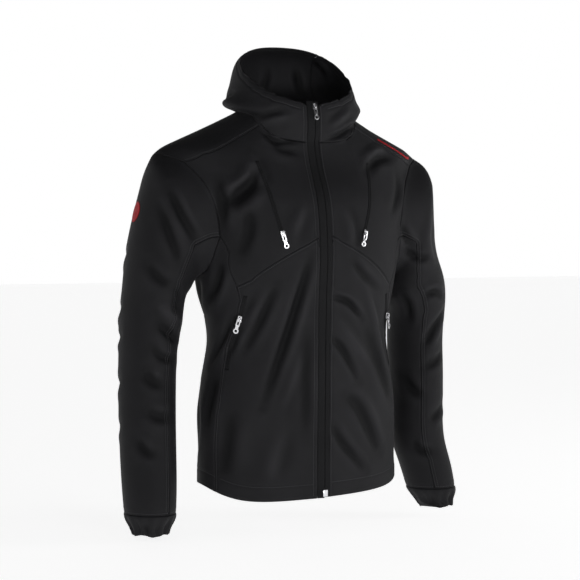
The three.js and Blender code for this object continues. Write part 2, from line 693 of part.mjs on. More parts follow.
function addMesh(name, geometry, material) {
  const mesh = new THREE.Mesh(geometry, material);
  mesh.name = name;
  group.add(mesh);
  return mesh;
}

function addWall(name, points, normals, closed = false) {
  const drawn = drawEdgesIn(points, closed);
  outers[name] = drawn;
  addMesh(name, wallGeometry(drawn, throughOf(points, normals), closed), cloth());
}

patchNames.forEach((name, g) => addWall(name, patchPoints[g], patchNormals[g]));

const around = (list, from, to) => {
  const run = [];
  for (let k = from; k <= to; k += 1) run.push(list[k % list.length]);
  return run;
};
Object.entries(sleeveForms).forEach(([name, { points, normals }]) => {
  const last = SLEEVE_TURNS.length;
  addWall(`sleeve_outer_${name}`, around(points, SLEEVE_BACK, last + SIDE_FRONT),
    around(normals, SLEEVE_BACK, last + SIDE_FRONT));
  addWall(`sleeve_under_${name}`, around(points, SIDE_FRONT, SLEEVE_BACK),
    around(normals, SIDE_FRONT, SLEEVE_BACK));
});

const HOOD_CENTRE = { from: 11, to: 17 };
const hoodPieces = {
  hood_side_left: [0, HOOD_CENTRE.from],
  hood_centre: [HOOD_CENTRE.from, HOOD_CENTRE.to],
  hood_side_right: [HOOD_CENTRE.to, neckLoop.length - 1],
};
Object.entries(hoodPieces).forEach(([name, [from, to]]) => {
  addWall(name, hoodForm.points.slice(from, to + 1), hoodForm.normals.slice(from, to + 1));
});

// Zip tapes, from each front's edge to the middle of the zip, up to the collar's top
function tape(name, side, edge, hoodColumn) {
  const bodyRows = [...edge.zipLow.slice().reverse(), ...edge.zipChest.slice(0, -1).reverse()];
  const onEdge = bodyRows.map(([angle, z]) => bodyPoint(side * angle, z));
  const onMiddle = bodyRows.map(([, z]) => bodyPoint(0, z));
  const hoodEdge = hoodForm.points[hoodColumn].slice(1);
  const middleLine = hoodLine([0, neckZ(0)], side, edge, 0);
  onEdge.push(...hoodEdge);
  onMiddle.push(...hoodEdge.map((point, j) => middleLine[j + 1].setZ(point.z)));
  const rows = onEdge.map((point, j) => {
    const middle = onMiddle[j].setX(side * ZIP_MIDDLE);
    return [point.clone(), middle];
  });
  const grid = [0, 1].map((i) => rows.map((row) => row[i]));
  const normals = gridNormals(grid, false).map((line) => line.map((n) => (n.y > 0 ? n.negate() : n)));
  const drawn = drawEdgesIn(grid, false);
  outers[name] = drawn;
  addMesh(name, wallGeometry(drawn, throughOf(grid, normals), false), new THREE.MeshStandardMaterial({
    color: colour(0.014, 0.014, 0.015), roughness: 0.85, metalness: 0,
  }));
}

tape('zip_tape_left', 1, EDGES.left, 0);
tape('zip_tape_right', -1, EDGES.right, neckLoop.length - 1);

// Elastic cuffs: a ring whose top edge follows the sleeve's last loop, drawn in and gathered
Object.entries(sleeveForms).forEach(([name, { points, normals }]) => {
  const loop = points.map((line) => line[SLEEVE_ROWS]);
  const count = loop.length;
  const before = points.map((line) => line[SLEEVE_ROWS - 1]);
  const middleOf = (list) => list.reduce((sum, p) => sum.add(p), new THREE.Vector3()).divideScalar(count);
  const middle = middleOf(loop);
  const down = middle.clone().sub(middleOf(before)).normalize();
  const grid = Array.from({ length: CUFF.steps }, (_, i) => {
    const place = (i * count) / CUFF.steps;
    const k = Math.floor(place + 1e-9);
    const top = loop[k].clone().lerp(loop[(k + 1) % count], place - k);
    const out = top.clone().sub(middle);
    const ahead = out.dot(down);
    out.addScaledVector(down, -ahead);
    const wave = Math.cos((2 * Math.PI * CUFF.gathers * i) / CUFF.steps);
    return steps(CUFF.rows).map((share) => {
      const shrink = 1 - CUFF.drawIn * share ** 2.2;
      const pucker = CUFF.depth * wave * Math.sin(Math.PI * Math.min(1, share * 0.75));
      return top.clone().addScaledVector(down, (CUFF.length - ahead) * share)
        .addScaledVector(out, shrink - 1 + pucker / out.length());
    });
  });
  const sign = SIDES[name];
  const about = gridNormals(grid, true).map((line) => line.map((n) => n.multiplyScalar(sign)));
  const outward = facetNormals([grid], [about], true)[0];
  outward.forEach((line, i) => {
    const place = (i * count) / CUFF.steps;
    const k = Math.floor(place + 1e-9);
    line[0] = normals[k][SLEEVE_ROWS].clone().lerp(normals[(k + 1) % count][SLEEVE_ROWS], place - k);
  });
  addWall(`cuff_${name}`, grid, outward, true);
});

// The point where a line meets the outer facets of a cloth piece
function onPiece(name, from, way) {
  const grid = outers[name];
  const ray = new THREE.Ray(from.clone().addScaledVector(way, 40), way.clone().negate());
  const hit = new THREE.Vector3();
  let best = null;
  const test = (a, b, c) => {
    if (!ray.intersectTriangle(a, b, c, false, hit)) return;
    const reach = hit.distanceTo(ray.origin);
    if (best === null || reach < best.reach) best = { reach, point: hit.clone() };
  };
  for (let i = 0; i < grid.length - 1; i += 1) {
    for (let j = 0; j < grid[0].length - 1; j += 1) {
      const [a, b, c, d] = [grid[i][j], grid[i + 1][j], grid[i + 1][j + 1], grid[i][j + 1]];
      const first = splitsFromFirst([a, b, c, d]);
      test(a, b, first ? c : d);
      test(first ? a : b, c, d);
    }
  }
  return best === null ? null : best.point;
}

// A strip that lies on a cloth piece along a line of places, with a height for each of
// its columns, moved out from the piece by the seam gap. It is lifted where the piece's
// facets stand higher between its own points
function strip(name, piece, places, columns, material) {
  const acrossAt = places.map(({ normal }, i) => {
    const next = places[Math.min(i + 1, places.length - 1)].point;
    const last = places[Math.max(i - 1, 0)].point;
    return next.clone().sub(last).cross(normal).normalize();
  });
  const base = columns.map(({ at }) => places.map(({ point, normal }, i) => (
    onPiece(piece, point.clone().addScaledVector(acrossAt[i], at), normal))));
  const lift = base.map((line) => line.map(() => 0));
  const raise = (k, i, m, j) => {
    const { normal } = places[i];
    for (let share = 0.25; share < 0.9; share += 0.25) {
      const between = base[k][i].clone().lerp(base[m][j], share);
      const height = onPiece(piece, between, normal).sub(between).dot(normal);
      lift[k][i] = Math.max(lift[k][i], height);
      lift[m][j] = Math.max(lift[m][j], height);
    }
  };
  base.forEach((line, k) => line.forEach((_, i) => {
    if (i + 1 < line.length) raise(k, i, k, i + 1);
    if (k + 1 < base.length) raise(k, i, k + 1, i);
    if (i + 1 < line.length && k + 1 < base.length) {
      raise(k, i, k + 1, i + 1);
      raise(k, i + 1, k + 1, i);
    }
  }));
  const top = base.map((line, k) => line.map((point, i) => (
    point.clone().addScaledVector(places[i].normal, SEAM_GAP + lift[k][i] + columns[k].height))));
  const through = base.map((line, k) => line.map((_, i) => (
    places[i].normal.clone().multiplyScalar(-columns[k].height))));
  outers[name] = top;
  addMesh(name, wallGeometry(top, through, false), material);
}

const placesOn = (side, table, by, count) => {
  const first = table[0][by];
  const last = table[table.length - 1][by];
  const other = column(table, by, by === 'z' ? 'x' : 'z');
  return steps(count).map((share) => {
    const value = mix(first, last, share);
    const [x, z] = by === 'z' ? [other(value), value] : [value, other(value)];
    const angle = side * angleAtX(x, z);
    return { point: bodyPoint(angle, z), normal: bodyNormal(angle, z) };
  });
};

const metal = (r, g, b, roughness) => new THREE.MeshStandardMaterial({
  color: colour(r, g, b), roughness, metalness: 1,
});
const silver = () => metal(0.78, 0.78, 0.8, 0.3);

// Pocket zips: a strip with a raised cloth lip on each side of its tape
const ZIP_COLUMNS = [
  { at: -4.2, height: 0.6 },
  { at: -1.6, height: 1.3 },
  { at: 1.6, height: 1.3 },
  { at: 4.2, height: 0.6 },
];
const CHEST_ZIPS = {
  left: [{ x: 111, z: -92 }, { x: 106, z: -125 }, { x: 95, z: -175 }, { x: 77, z: -227 }],
  right: [{ x: 116, z: -92 }, { x: 108, z: -125 }, { x: 98, z: -175 }, { x: 84, z: -229 }],
};
const HAND_ZIP = [{ x: 144, z: -332 }, { x: 150, z: -380 }, { x: 158, z: -425 }, { x: 167, z: -466 }];
const zipCloth = () => new THREE.MeshStandardMaterial({
  color: colour(0.014, 0.014, 0.015), roughness: 0.85, metalness: 0,
});
const zips = {};
Object.entries(SIDES).forEach(([name, side]) => {
  const chest = placesOn(side, CHEST_ZIPS[name], 'z', 14);
  const hand = placesOn(side, HAND_ZIP, 'z', 14);
  strip(`chest_zip_${name}`, `chest_${name}`, chest, ZIP_COLUMNS, zipCloth());
  strip(`hand_zip_${name}`, `front_${name}`, hand, ZIP_COLUMNS, zipCloth());
  zips[`chest_${name}`] = { places: chest, at: 0.95 };
  zips[`hand_${name}`] = { places: hand, at: 0.3 };
});

// The plain strip over the left shoulder and the plain round patch on the right sleeve
const FLAT = [{ at: -2.6, height: 0.6 }, { at: 0, height: 0.6 }, { at: 2.6, height: 0.6 }];
const SHOULDER_STRIP = [
  { x: 152, z: -45 }, { x: 190, z: -62 }, { x: 222, z: -73 }, { x: 243, z: -79 },
];
const red = () =>
  new THREE.MeshStandardMaterial({ color: colour(0.45, 0.02, 0.025), roughness: 0.6, metalness: 0 });
strip('shoulder_strip', 'yoke', placesOn(1, SHOULDER_STRIP, 'x', 12), FLAT, red());

const PATCH = { turn: 352, row: 4.7, radius: 19, thick: 0.9, round: 32 };
const patchAt = (() => {
  const { points, normals } = sleeveForms.right;
  const k = SLEEVE_TURNS.indexOf(360) - 1;
  const share = (PATCH.turn - SLEEVE_TURNS[k]) / (SLEEVE_TURNS[k + 1] - SLEEVE_TURNS[k]);
  const row = Math.floor(PATCH.row);
  const between = (grid, turn) => grid[turn][row].clone().lerp(grid[turn][row + 1], PATCH.row - row);
  const point = between(points, k).lerp(between(points, k + 1), share);
  const normal = between(normals, k).lerp(between(normals, k + 1), share).normalize();
  return { point, normal };
})();
(() => {
  const { point, normal } = patchAt;
  const aside = new THREE.Vector3(0, 0, 1).cross(normal).normalize();
  const up = normal.clone().cross(aside);
  const rings = [0, 0.5, 1];
  const base = rings.map((share) => Array.from({ length: PATCH.round }, (_, i) => {
    const turn = (2 * Math.PI * i) / PATCH.round;
    const from = point.clone().addScaledVector(aside, PATCH.radius * share * Math.cos(turn))
      .addScaledVector(up, PATCH.radius * share * Math.sin(turn));
    return onPiece('sleeve_outer_right', from, normal);
  }));
  const position = [];
  const faces = [];
  const lower = [base[0][0], ...base[1], ...base[2]];
  const count = lower.length;
  const lift = lower.map(() => 0);
  const raise = (...corners) => {
    for (let u = 0; u <= 4; u += 1) {
      for (let v = 0; v <= 4 - u; v += 1) {
        const shares = [u / 4, v / 4, 1 - (u + v) / 4];
        const p = new THREE.Vector3();
        corners.forEach((k, n) => p.addScaledVector(lower[k], shares[n]));
        const height = onPiece('sleeve_outer_right', p, normal).sub(p).dot(normal);
        corners.forEach((k) => { lift[k] = Math.max(lift[k], height); });
      }
    }
  };
  for (let i = 0; i < PATCH.round; i += 1) {
    const n = (i + 1) % PATCH.round;
    const a = 1 + i;
    const b = 1 + n;
    const c = a + PATCH.round;
    const d = b + PATCH.round;
    faces.push(0, a, b, a, c, d, a, d, b);
    raise(0, a, b);
    raise(a, c, d);
    raise(a, d, b);
    faces.push(count, count + b, count + a, count + a, count + d, count + c, count + a, count + b, count + d);
    faces.push(c, c + count, d + count, c, d + count, d);
  }
  [SEAM_GAP + PATCH.thick, SEAM_GAP].forEach((height) => lower.forEach((p, k) => {
    position.push(...p.clone().addScaledVector(normal, height + lift[k]).toArray());
  }));
  addMesh('arm_patch', facingOut(position, faces), red());
})();

// Sliders and pull tabs. Local x runs across the zip, y along it towards its closed end,
// z out from the cloth; the tab hangs from a bar that passes under the slider's bridge
const SLIDER = {
  width: 8.4, length: 12, plate: 1.8,
  bridgeHalf: 5, bridgeHeight: 4.4, bridgeWidth: 2.2, bridgeWall: 1.1,
};
const TAB = {
  width: 7.2, slot: 3.4, slotEnd: 10, body: 5.6, bodyEnd: 19,
  ring: 5, ringAt: 21.5, hole: 2.5, thick: 1.5,
};
const BAR_HEIGHT = SLIDER.plate + 1.35; // height of the tab's bar over the slider's underside

const solidOf = (geometry) => {
  const merged = mergeVertices(new THREE.BufferGeometry()
    .setAttribute('position', geometry.getAttribute('position')), 1e-4);
  return new wasm.Manifold(new wasm.Mesh({
    numProp: 3,
    vertProperties: Float32Array.from(merged.attributes.position.array),
    triVerts: Uint32Array.from(merged.index.array),
  }));
};
const geometryOf = (solid) => {
  const mesh = solid.getMesh();
  const geometry = new THREE.BufferGeometry();
  geometry.setAttribute('position', new THREE.Float32BufferAttribute(mesh.vertProperties, 3));
  geometry.setIndex(Array.from(mesh.triVerts));
  geometry.computeVertexNormals();
  return geometry;
};
const roundedOutline = (half, length, corner) => {
  const shape = new THREE.Shape();
  shape.moveTo(-half + corner, -length);
  shape.lineTo(half - corner, -length);
  shape.quadraticCurveTo(half, -length, half, -length + corner);
  shape.lineTo(half * 0.8, length - corner);
  shape.quadraticCurveTo(half * 0.8, length, half * 0.8 - corner, length);
  shape.lineTo(-half * 0.8 + corner, length);
  shape.quadraticCurveTo(-half * 0.8, length, -half * 0.8, length - corner);
  shape.lineTo(-half, -length + corner);
  shape.quadraticCurveTo(-half, -length, -half + corner, -length);
  return shape;
};

function sliderGeometry() {
  const plate = new THREE.ExtrudeGeometry(
    roundedOutline(SLIDER.width / 2, SLIDER.length / 2, 1.2),
    { depth: SLIDER.plate, bevelEnabled: false, curveSegments: 4 },
  );
  const arch = new THREE.Shape();
  const foot = SLIDER.plate - 0.4;
  const crown = SLIDER.plate + SLIDER.bridgeHeight - SLIDER.bridgeWall;
  const inner = SLIDER.bridgeHalf - SLIDER.bridgeWall;
  arch.moveTo(-SLIDER.bridgeHalf, foot);
  arch.lineTo(-SLIDER.bridgeHalf, crown - 1);
  arch.quadraticCurveTo(-SLIDER.bridgeHalf, crown + SLIDER.bridgeWall, -inner + 1.2, crown + SLIDER.bridgeWall);
  arch.lineTo(inner - 1.2, crown + SLIDER.bridgeWall);
  arch.quadraticCurveTo(SLIDER.bridgeHalf, crown + SLIDER.bridgeWall, SLIDER.bridgeHalf, crown - 1);
  arch.lineTo(SLIDER.bridgeHalf, foot);
  arch.lineTo(inner, foot);
  arch.lineTo(inner, crown - 1);
  arch.quadraticCurveTo(inner, crown, inner - 1.2, crown);
  arch.lineTo(-inner + 1.2, crown);
  arch.quadraticCurveTo(-inner, crown, -inner, crown - 1);
  arch.lineTo(-inner, foot);
  const cut = { depth: SLIDER.bridgeWidth, bevelEnabled: false, curveSegments: 4 };
  const bridge = new THREE.ExtrudeGeometry(arch, cut);
  bridge.translate(0, 0, -SLIDER.bridgeWidth / 2);
  bridge.applyMatrix4(new THREE.Matrix4().makeBasis(
    new THREE.Vector3(0, 1, 0),
    new THREE.Vector3(0, 0, 1),
    new THREE.Vector3(1, 0, 0),
  ));
  return geometryOf(solidOf(plate).add(solidOf(bridge)));
}

// The tab lies along -y from its bar, which is at the local origin
function tabGeometry() {
  const half = TAB.width / 2;
  const top = TAB.thick / 2;
  const outline = new THREE.Shape();
  outline.moveTo(-half + 1, top);
  outline.lineTo(half - 1, top);
  outline.quadraticCurveTo(half, top, half, top - 1);
  outline.lineTo(half, -TAB.slotEnd);
  outline.quadraticCurveTo(half, -TAB.slotEnd - 2.4, TAB.body / 2, -TAB.slotEnd - 3.4);
  const reach = Math.asin(TAB.body / 2 / TAB.ring);
  outline.lineTo(TAB.body / 2, -TAB.ringAt + TAB.ring * Math.cos(reach));
  outline.absarc(0, -TAB.ringAt, TAB.ring, Math.PI / 2 - reach, Math.PI / 2 + reach - 2 * Math.PI, true);
  outline.lineTo(-TAB.body / 2, -TAB.slotEnd - 3.4);
  outline.quadraticCurveTo(-half, -TAB.slotEnd - 2.4, -half, -TAB.slotEnd);
  outline.lineTo(-half, top - 1);
  outline.quadraticCurveTo(-half, top, -half + 1, top);
  const slot = new THREE.Path();
  slot.moveTo(-TAB.slot / 2, -top);
  slot.lineTo(-TAB.slot / 2, -TAB.slotEnd + 1);
  slot.quadraticCurveTo(-TAB.slot / 2, -TAB.slotEnd, 0, -TAB.slotEnd);
  slot.quadraticCurveTo(TAB.slot / 2, -TAB.slotEnd, TAB.slot / 2, -TAB.slotEnd + 1);
  slot.lineTo(TAB.slot / 2, -top);
  slot.lineTo(-TAB.slot / 2, -top);
  const hole = new THREE.Path();
  hole.absarc(0, -TAB.ringAt, TAB.hole, 0, 2 * Math.PI, false);
  outline.holes.push(slot, hole);
  const tab = new THREE.ExtrudeGeometry(outline, { depth: TAB.thick, bevelEnabled: false, curveSegments: 5 });
  tab.translate(0, 0, -top);
  return geometryOf(solidOf(tab));
}

// Places a slider clear of the pieces it lies on, and its tab as it hangs. up points along
// the zip to its closed end, out from the cloth
function hardware(name, pieces, point, up, out) {
  const across = up.clone().cross(out).normalize();
  const along = out.clone().cross(across).normalize();
  let height = -100;
  [-1, -0.5, 0, 0.5, 1].forEach((u) => [-1, -0.5, 0, 0.5, 1].forEach((v) => pieces.forEach((piece) => {
    const from = point.clone().addScaledVector(across, (u * SLIDER.width) / 2)
      .addScaledVector(along, (v * SLIDER.length) / 2);
    const hit = onPiece(piece, from, out);
    if (hit) height = Math.max(height, hit.sub(point).dot(out));
  })));
  const seat = point.clone().addScaledVector(out, height + SEAM_GAP);
  const frame = new THREE.Matrix4().makeBasis(across, along, out).setPosition(seat);
  addMesh(`slider_${name}`, sliderGeometry().applyMatrix4(frame), silver());
  const bar = new THREE.Matrix4().makeTranslation(0, 0, BAR_HEIGHT)
    .multiply(new THREE.Matrix4().makeRotationX(-Math.max(0, Math.atan2(-out.z, along.z))));
  addMesh(`pull_${name}`, tabGeometry().applyMatrix4(frame.clone().multiply(bar)), silver());
}

Object.entries(zips).forEach(([name, { places, at }]) => {
  const place = at * (places.length - 1);
  const i = Math.min(Math.floor(place), places.length - 2);
  const point = places[i].point.clone().lerp(places[i + 1].point, place - i);
  const out = places[i].normal.clone().lerp(places[i + 1].normal, place - i).normalize();
  const up = places[i].point.clone().sub(places[i + 1].point);
  up.addScaledVector(out, -up.dot(out)).normalize();
  const [kind, side] = name.split('_');
  const pieces = [`${kind}_zip_${side}`, `${kind === 'chest' ? 'chest' : 'front'}_${side}`];
  hardware(name, pieces, point, up, out);
});

// The main zip's slider, near the collar's top, and the box at the zip's foot
const zipMiddle = outers.zip_tape_left[1].map((point) => point.clone().setX(0));
function onZip(z) {
  const k = zipMiddle.findIndex((point) => point.z > z);
  const up = zipMiddle[k].clone().sub(zipMiddle[k - 1]).normalize();
  const share = (z - zipMiddle[k - 1].z) / (zipMiddle[k].z - zipMiddle[k - 1].z);
  const out = up.clone().cross(new THREE.Vector3(1, 0, 0)).normalize();
  const point = zipMiddle[k - 1].clone().lerp(zipMiddle[k], share);
  return { point, up, out: out.y < 0 ? out : out.negate() };
}
const MAIN_SLIDER_Z = 9;
const top = onZip(MAIN_SLIDER_Z);
const ABOUT_ZIP = ['zip_tape_left', 'zip_tape_right', 'hood_side_left', 'hood_side_right'];
hardware('main', ABOUT_ZIP, top.point, top.up, top.out);

const ZIP_BOX = { z: -689, width: 9, height: 12, thick: 2.4 };
const foot = onZip(ZIP_BOX.z);
const box = new THREE.BoxGeometry(ZIP_BOX.width, ZIP_BOX.height, ZIP_BOX.thick);
box.applyMatrix4(new THREE.Matrix4()
  .makeBasis(foot.up.clone().cross(foot.out).normalize(), foot.up, foot.out)
  .setPosition(foot.point.clone().addScaledVector(foot.out, 0.5 + ZIP_BOX.thick / 2)));
addMesh('zip_box', box, silver());

export default group;
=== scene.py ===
import bpy, bmesh, math
import numpy as np
from mathutils import Vector, Matrix
from mathutils.bvhtree import BVHTree


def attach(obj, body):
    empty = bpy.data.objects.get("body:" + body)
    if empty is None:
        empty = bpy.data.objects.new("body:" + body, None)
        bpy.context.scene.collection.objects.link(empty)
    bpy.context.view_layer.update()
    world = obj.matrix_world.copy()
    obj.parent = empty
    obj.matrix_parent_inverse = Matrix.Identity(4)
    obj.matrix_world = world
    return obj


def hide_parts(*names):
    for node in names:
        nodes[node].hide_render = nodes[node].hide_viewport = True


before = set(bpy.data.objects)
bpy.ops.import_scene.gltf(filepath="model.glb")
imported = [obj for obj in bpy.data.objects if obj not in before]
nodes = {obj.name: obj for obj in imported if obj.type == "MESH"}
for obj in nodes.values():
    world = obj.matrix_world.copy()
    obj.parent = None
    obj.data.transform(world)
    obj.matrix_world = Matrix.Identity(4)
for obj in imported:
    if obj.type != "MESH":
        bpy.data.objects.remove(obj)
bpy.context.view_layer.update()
scene = bpy.context.scene
MM = 0.001
FINE = 3          # how finely the cloth is smoothed

# ------------------------------------------------------------------ camera
camera = bpy.data.objects.new("camera", bpy.data.cameras.new("camera"))
scene.collection.objects.link(camera)
scene.camera = camera
scene.view_settings.view_transform = "Standard"
camera.location = (-1.4982, -2.9403, -0.211)
aim = Vector((-0.0132, 0.0067, -0.3257)) - camera.location
camera.rotation_euler = aim.to_track_quat("-Z", "Y").to_euler()
camera.data.lens = 110.73
camera.data.clip_end = 60

# ------------------------------------------------------------------ pieces of cloth
BODY, ARM_LEFT, ARM_RIGHT, HOOD = range(4)
# name: part of the garment, cut width, cut length, flat area, what it hangs from; metres
PANELS = {
    "chest_left": (BODY, 0.25, 0.33, 0.0461, "yoke"),
    "chest_right": (BODY, 0.25, 0.33, 0.045, "yoke"),
    "front_left": (BODY, 0.21, 0.48, 0.077, "chest_left"),
    "front_right": (BODY, 0.21, 0.48, 0.0755, "chest_right"),
    "side_left": (BODY, 0.17, 0.46, 0.0433, "chest_left"),
    "side_right": (BODY, 0.17, 0.46, 0.0436, "chest_right"),
    "back": (BODY, 0.58, 0.63, 0.2313, "yoke"),
    "yoke": (BODY, 0.6, 0.28, 0.096, None),
    "sleeve_outer_left": (ARM_LEFT, 0.26, 0.66, 0.1157, "yoke"),
    "sleeve_under_left": (ARM_LEFT, 0.24, 0.62, 0.1029, "side_left"),
    "sleeve_outer_right": (ARM_RIGHT, 0.26, 0.67, 0.1172, "yoke"),
    "sleeve_under_right": (ARM_RIGHT, 0.24, 0.63, 0.1046, "side_right"),
    "cuff_left": (ARM_LEFT, 0.33, 0.05, 0.0135, "sleeve_outer_left"),
    "cuff_right": (ARM_RIGHT, 0.33, 0.05, 0.0135, "sleeve_outer_right"),
    "hood_side_left": (HOOD, 0.2, 0.24, 0.0249, "yoke"),
    "hood_centre": (HOOD, 0.18, 0.3, 0.028, "yoke"),
    "hood_side_right": (HOOD, 0.2, 0.24, 0.0245, "yoke"),
}
NAMES = list(PANELS)
PARTS = [PANELS[n][0] for n in NAMES]
SEWN_ON = ("shoulder_strip", "arm_patch")

SAME_POINT = 1e-5
RIM_WIDTH = 2.2 * MM                   # faces narrower than this are a wall's rim
RIM_WIDTH_SEWN_ON = 1.2 * MM
CORNER_WIDTH, CORNER_AREA, CORNER_BEND = 8 * MM, 60e-6, 0.7   # the rim's small slanting faces
SKIN_BEND = 1.0                        # a skin ends where the surface bends by more
SEAM_GAP = 1.5 * MM                    # edges closer than this are sewn together
HOLE_EDGE = 40 * MM                    # longest edge of the holes left where seams cross
HEM_TOP, ZIP_HALF = -0.66, 0.02        # the hem and the zip's edges stay open


def outer_face(node):
    """The outer skin of a cloth wall: the wall's rims go, then the smaller of its two skins."""
    bm = bmesh.new()
    bm.from_mesh(nodes[node].data)
    bmesh.ops.remove_doubles(bm, verts=bm.verts, dist=SAME_POINT)
    bend = {e: e.calc_face_angle(0) for e in bm.edges}
    rim_width = RIM_WIDTH_SEWN_ON if node in SEWN_ON else RIM_WIDTH
    rims = []
    for f in bm.faces:
        short = min(e.calc_length() for e in f.edges)
        sharp = any(bend[e] > CORNER_BEND for e in f.edges)
        corner = node in PANELS and short < CORNER_WIDTH and sharp and f.calc_area() < CORNER_AREA
        if short < rim_width or corner:
            rims.append(f)
    bmesh.ops.delete(bm, geom=rims, context="FACES")
    skins, seen = [], set()
    for f in bm.faces:
        if f in seen:
            continue
        skin, todo = [], [f]
        seen.add(f)
        while todo:
            g = todo.pop()
            skin.append(g)
            for e in g.edges:
                for h in e.link_faces if bend.get(e, 0) < SKIN_BEND else ():
                    if h not in seen:
                        seen.add(h)
                        todo.append(h)
        skins.append(skin)
    skins.sort(key=lambda s: -sum(g.calc_area() for g in s))
    bmesh.ops.delete(bm, geom=[g for s in skins[1:] for g in s], context="FACES")
    return bm


def join_triangles(bm, **settings):
    bmesh.ops.join_triangles(bm, faces=bm.faces, angle_face_threshold=math.pi,
                             angle_shape_threshold=math.pi, **settings)


def sewn_together():
    """All the outer skins in one mesh, joined along their seams; a face's material number is its piece."""
    whole = bmesh.new()
    for k, name in enumerate(NAMES):
        if "cuff" in name:
            continue
        bm = outer_face(name)
        for f in bm.faces:
            f.material_index = k
        part = bpy.data.meshes.new("part")
        bm.to_mesh(part)
        bm.free()
        whole.from_mesh(part)
        bpy.data.meshes.remove(part)
    bmesh.ops.remove_doubles(whole, verts=whole.verts, dist=SEAM_GAP)
    join_triangles(whole, cmp_materials=True)
    small = [e for e in whole.edges if e.is_boundary and e.calc_length() < HOLE_EDGE
             and not (e.verts[0].co.z < HEM_TOP or abs(e.verts[0].co.x) < ZIP_HALF)]
    bmesh.ops.holes_fill(whole, edges=small, sides=6)
    mesh = bpy.data.meshes.new("sewn")
    whole.to_mesh(mesh)
    whole.free()
    obj = bpy.data.objects.new("sewn", mesh)
    scene.collection.objects.link(obj)
    smooth = obj.modifiers.new("smooth", "SUBSURF")
    smooth.levels = smooth.render_levels = FINE
    smooth.boundary_smooth = "PRESERVE_CORNERS"
    out = bpy.data.meshes.new_from_object(obj.evaluated_get(bpy.context.evaluated_depsgraph_get()))
    bpy.data.objects.remove(obj)
    return out


# middle of the sleeve's end, middle of the cuff's end, both in millimetres
CUFFS = {"cuff_left": (Vector((296, 16.5, -709.5)), Vector((303.5, 10, -746.5))),
         "cuff_right": (Vector((-289, 16.5, -720.5)), Vector((-291.5, 10, -757.5)))}
# how far down the cuff, how wide beside the sleeve's end, how deep the gathers in millimetres
CUFF_ROWS = [(0.1, 1.01, 0.2), (0.22, 0.985, 0.7), (0.35, 0.93, 1.4), (0.48, 0.86, 2.1), (0.6, 0.8, 2.5),
             (0.72, 0.76, 2.5), (0.84, 0.735, 2.2), (0.94, 0.72, 1.9), (1.0, 0.7, 1.6), (1.005, 0.66, 1.3),
             (0.96, 0.635, 1.1), (0.88, 0.63, 1.0)]
# where round the cuff the gathers lie, and how far each spreads, as angles
GATHERS = [0.3, 0.8, 1.35, 1.75, 2.3, 2.72, 3.2, 3.75, 4.15, 4.62, 5.1, 5.5, 5.95]
GATHER_SPREAD = 0.23
SLEEVE_END, SLEEVE_SIDE = -0.69, 0.22  # a free edge below and beyond these is a sleeve's end
UNEVEN = 1.6 * MM                      # how far the gathered edge wanders up and down


def add_cuffs(mesh):
    """Draws each sleeve's end down into a gathered cuff with a turned-in edge."""
    bm = bmesh.new()
    bm.from_mesh(mesh)
    for name, (top, end) in CUFFS.items():
        side = 1 if "left" in name else -1
        ring = [e for e in bm.edges if e.is_boundary and e.verts[0].co.z < SLEEVE_END
                and e.verts[0].co.x * side > SLEEVE_SIDE]
        begun = {v: v.co.copy() for e in ring for v in e.verts}   # where on the sleeve's end each one began
        top, end = top * MM, end * MM
        for down, wide, deep in CUFF_ROWS:
            made = bmesh.ops.extrude_edge_only(bm, edges=ring)["geom"]
            for f in [g for g in made if isinstance(g, bmesh.types.BMFace)]:
                f.material_index = NAMES.index(name)
                f.smooth = True
            ring = [g for g in made if isinstance(g, bmesh.types.BMEdge) and g.is_boundary]
            fresh = {v for e in ring for v in e.verts}
            begun = {v: begun[min(begun, key=lambda u: (begun[u] - v.co).length_squared)] for v in fresh}
            for v, start in begun.items():
                out = start - top
                turn = math.atan2(out.y, out.x) % math.tau
                pleat = min(abs((turn - g + math.pi) % math.tau - math.pi) for g in GATHERS)
                fold = (math.cos(min(pleat / GATHER_SPREAD, 1) * math.pi)
                        - 0.35 * math.sin(7 * turn + 2 * down))
                slip = Vector((0, 0, UNEVEN * math.sin(5 * turn + 1)))
                v.co = (top.lerp(end, down) + out * wide
                        - out.normalized() * (fold * deep * MM) + slip * down)
    bmesh.ops.recalc_face_normals(bm, faces=bm.faces)
    bm.to_mesh(mesh)
    bm.free()


cloth = sewn_together()
add_cuffs(cloth)
# the points, the piece that each face and each of its corners is in, and the points of each part
count = len(cloth.vertices)
place = np.empty(count * 3)
cloth.vertices.foreach_get("co", place)
place = place.reshape(-1, 3)
face_piece = np.empty(len(cloth.polygons), int)
cloth.polygons.foreach_get("material_index", face_piece)
loop_vertex = np.empty(len(cloth.loops), int)
cloth.loops.foreach_get("vertex_index", loop_vertex)
loop_piece = np.repeat(face_piece, [p.loop_total for p in cloth.polygons])
in_part = np.zeros((4, count), bool)
for k, part in enumerate(PARTS):
    in_part[part, loop_vertex[loop_piece == k]] = True


def facing():
    """The direction out of the cloth at each of its points."""
    cloth.vertices.foreach_set("co", place.ravel())
    cloth.update()
    out = np.empty(count * 3)
    cloth.vertex_normals.foreach_get("vector", out)
    return out.reshape(-1, 3)


def skin_of(part):
    """The cloth of one part of the garment, to lay things on."""
    faces = [tuple(p.vertices) for p in cloth.polygons if PARTS[p.material_index] == part]
    return BVHTree.FromPolygons([Vector(p) for p in place], faces)


DRAWN_IN = 0.4                         # smoothing draws the cloth in by about this many millimetres
place += facing() * DRAWN_IN * MM
skins = [skin_of(part) for part in (BODY, ARM_LEFT, ARM_RIGHT, HOOD)]


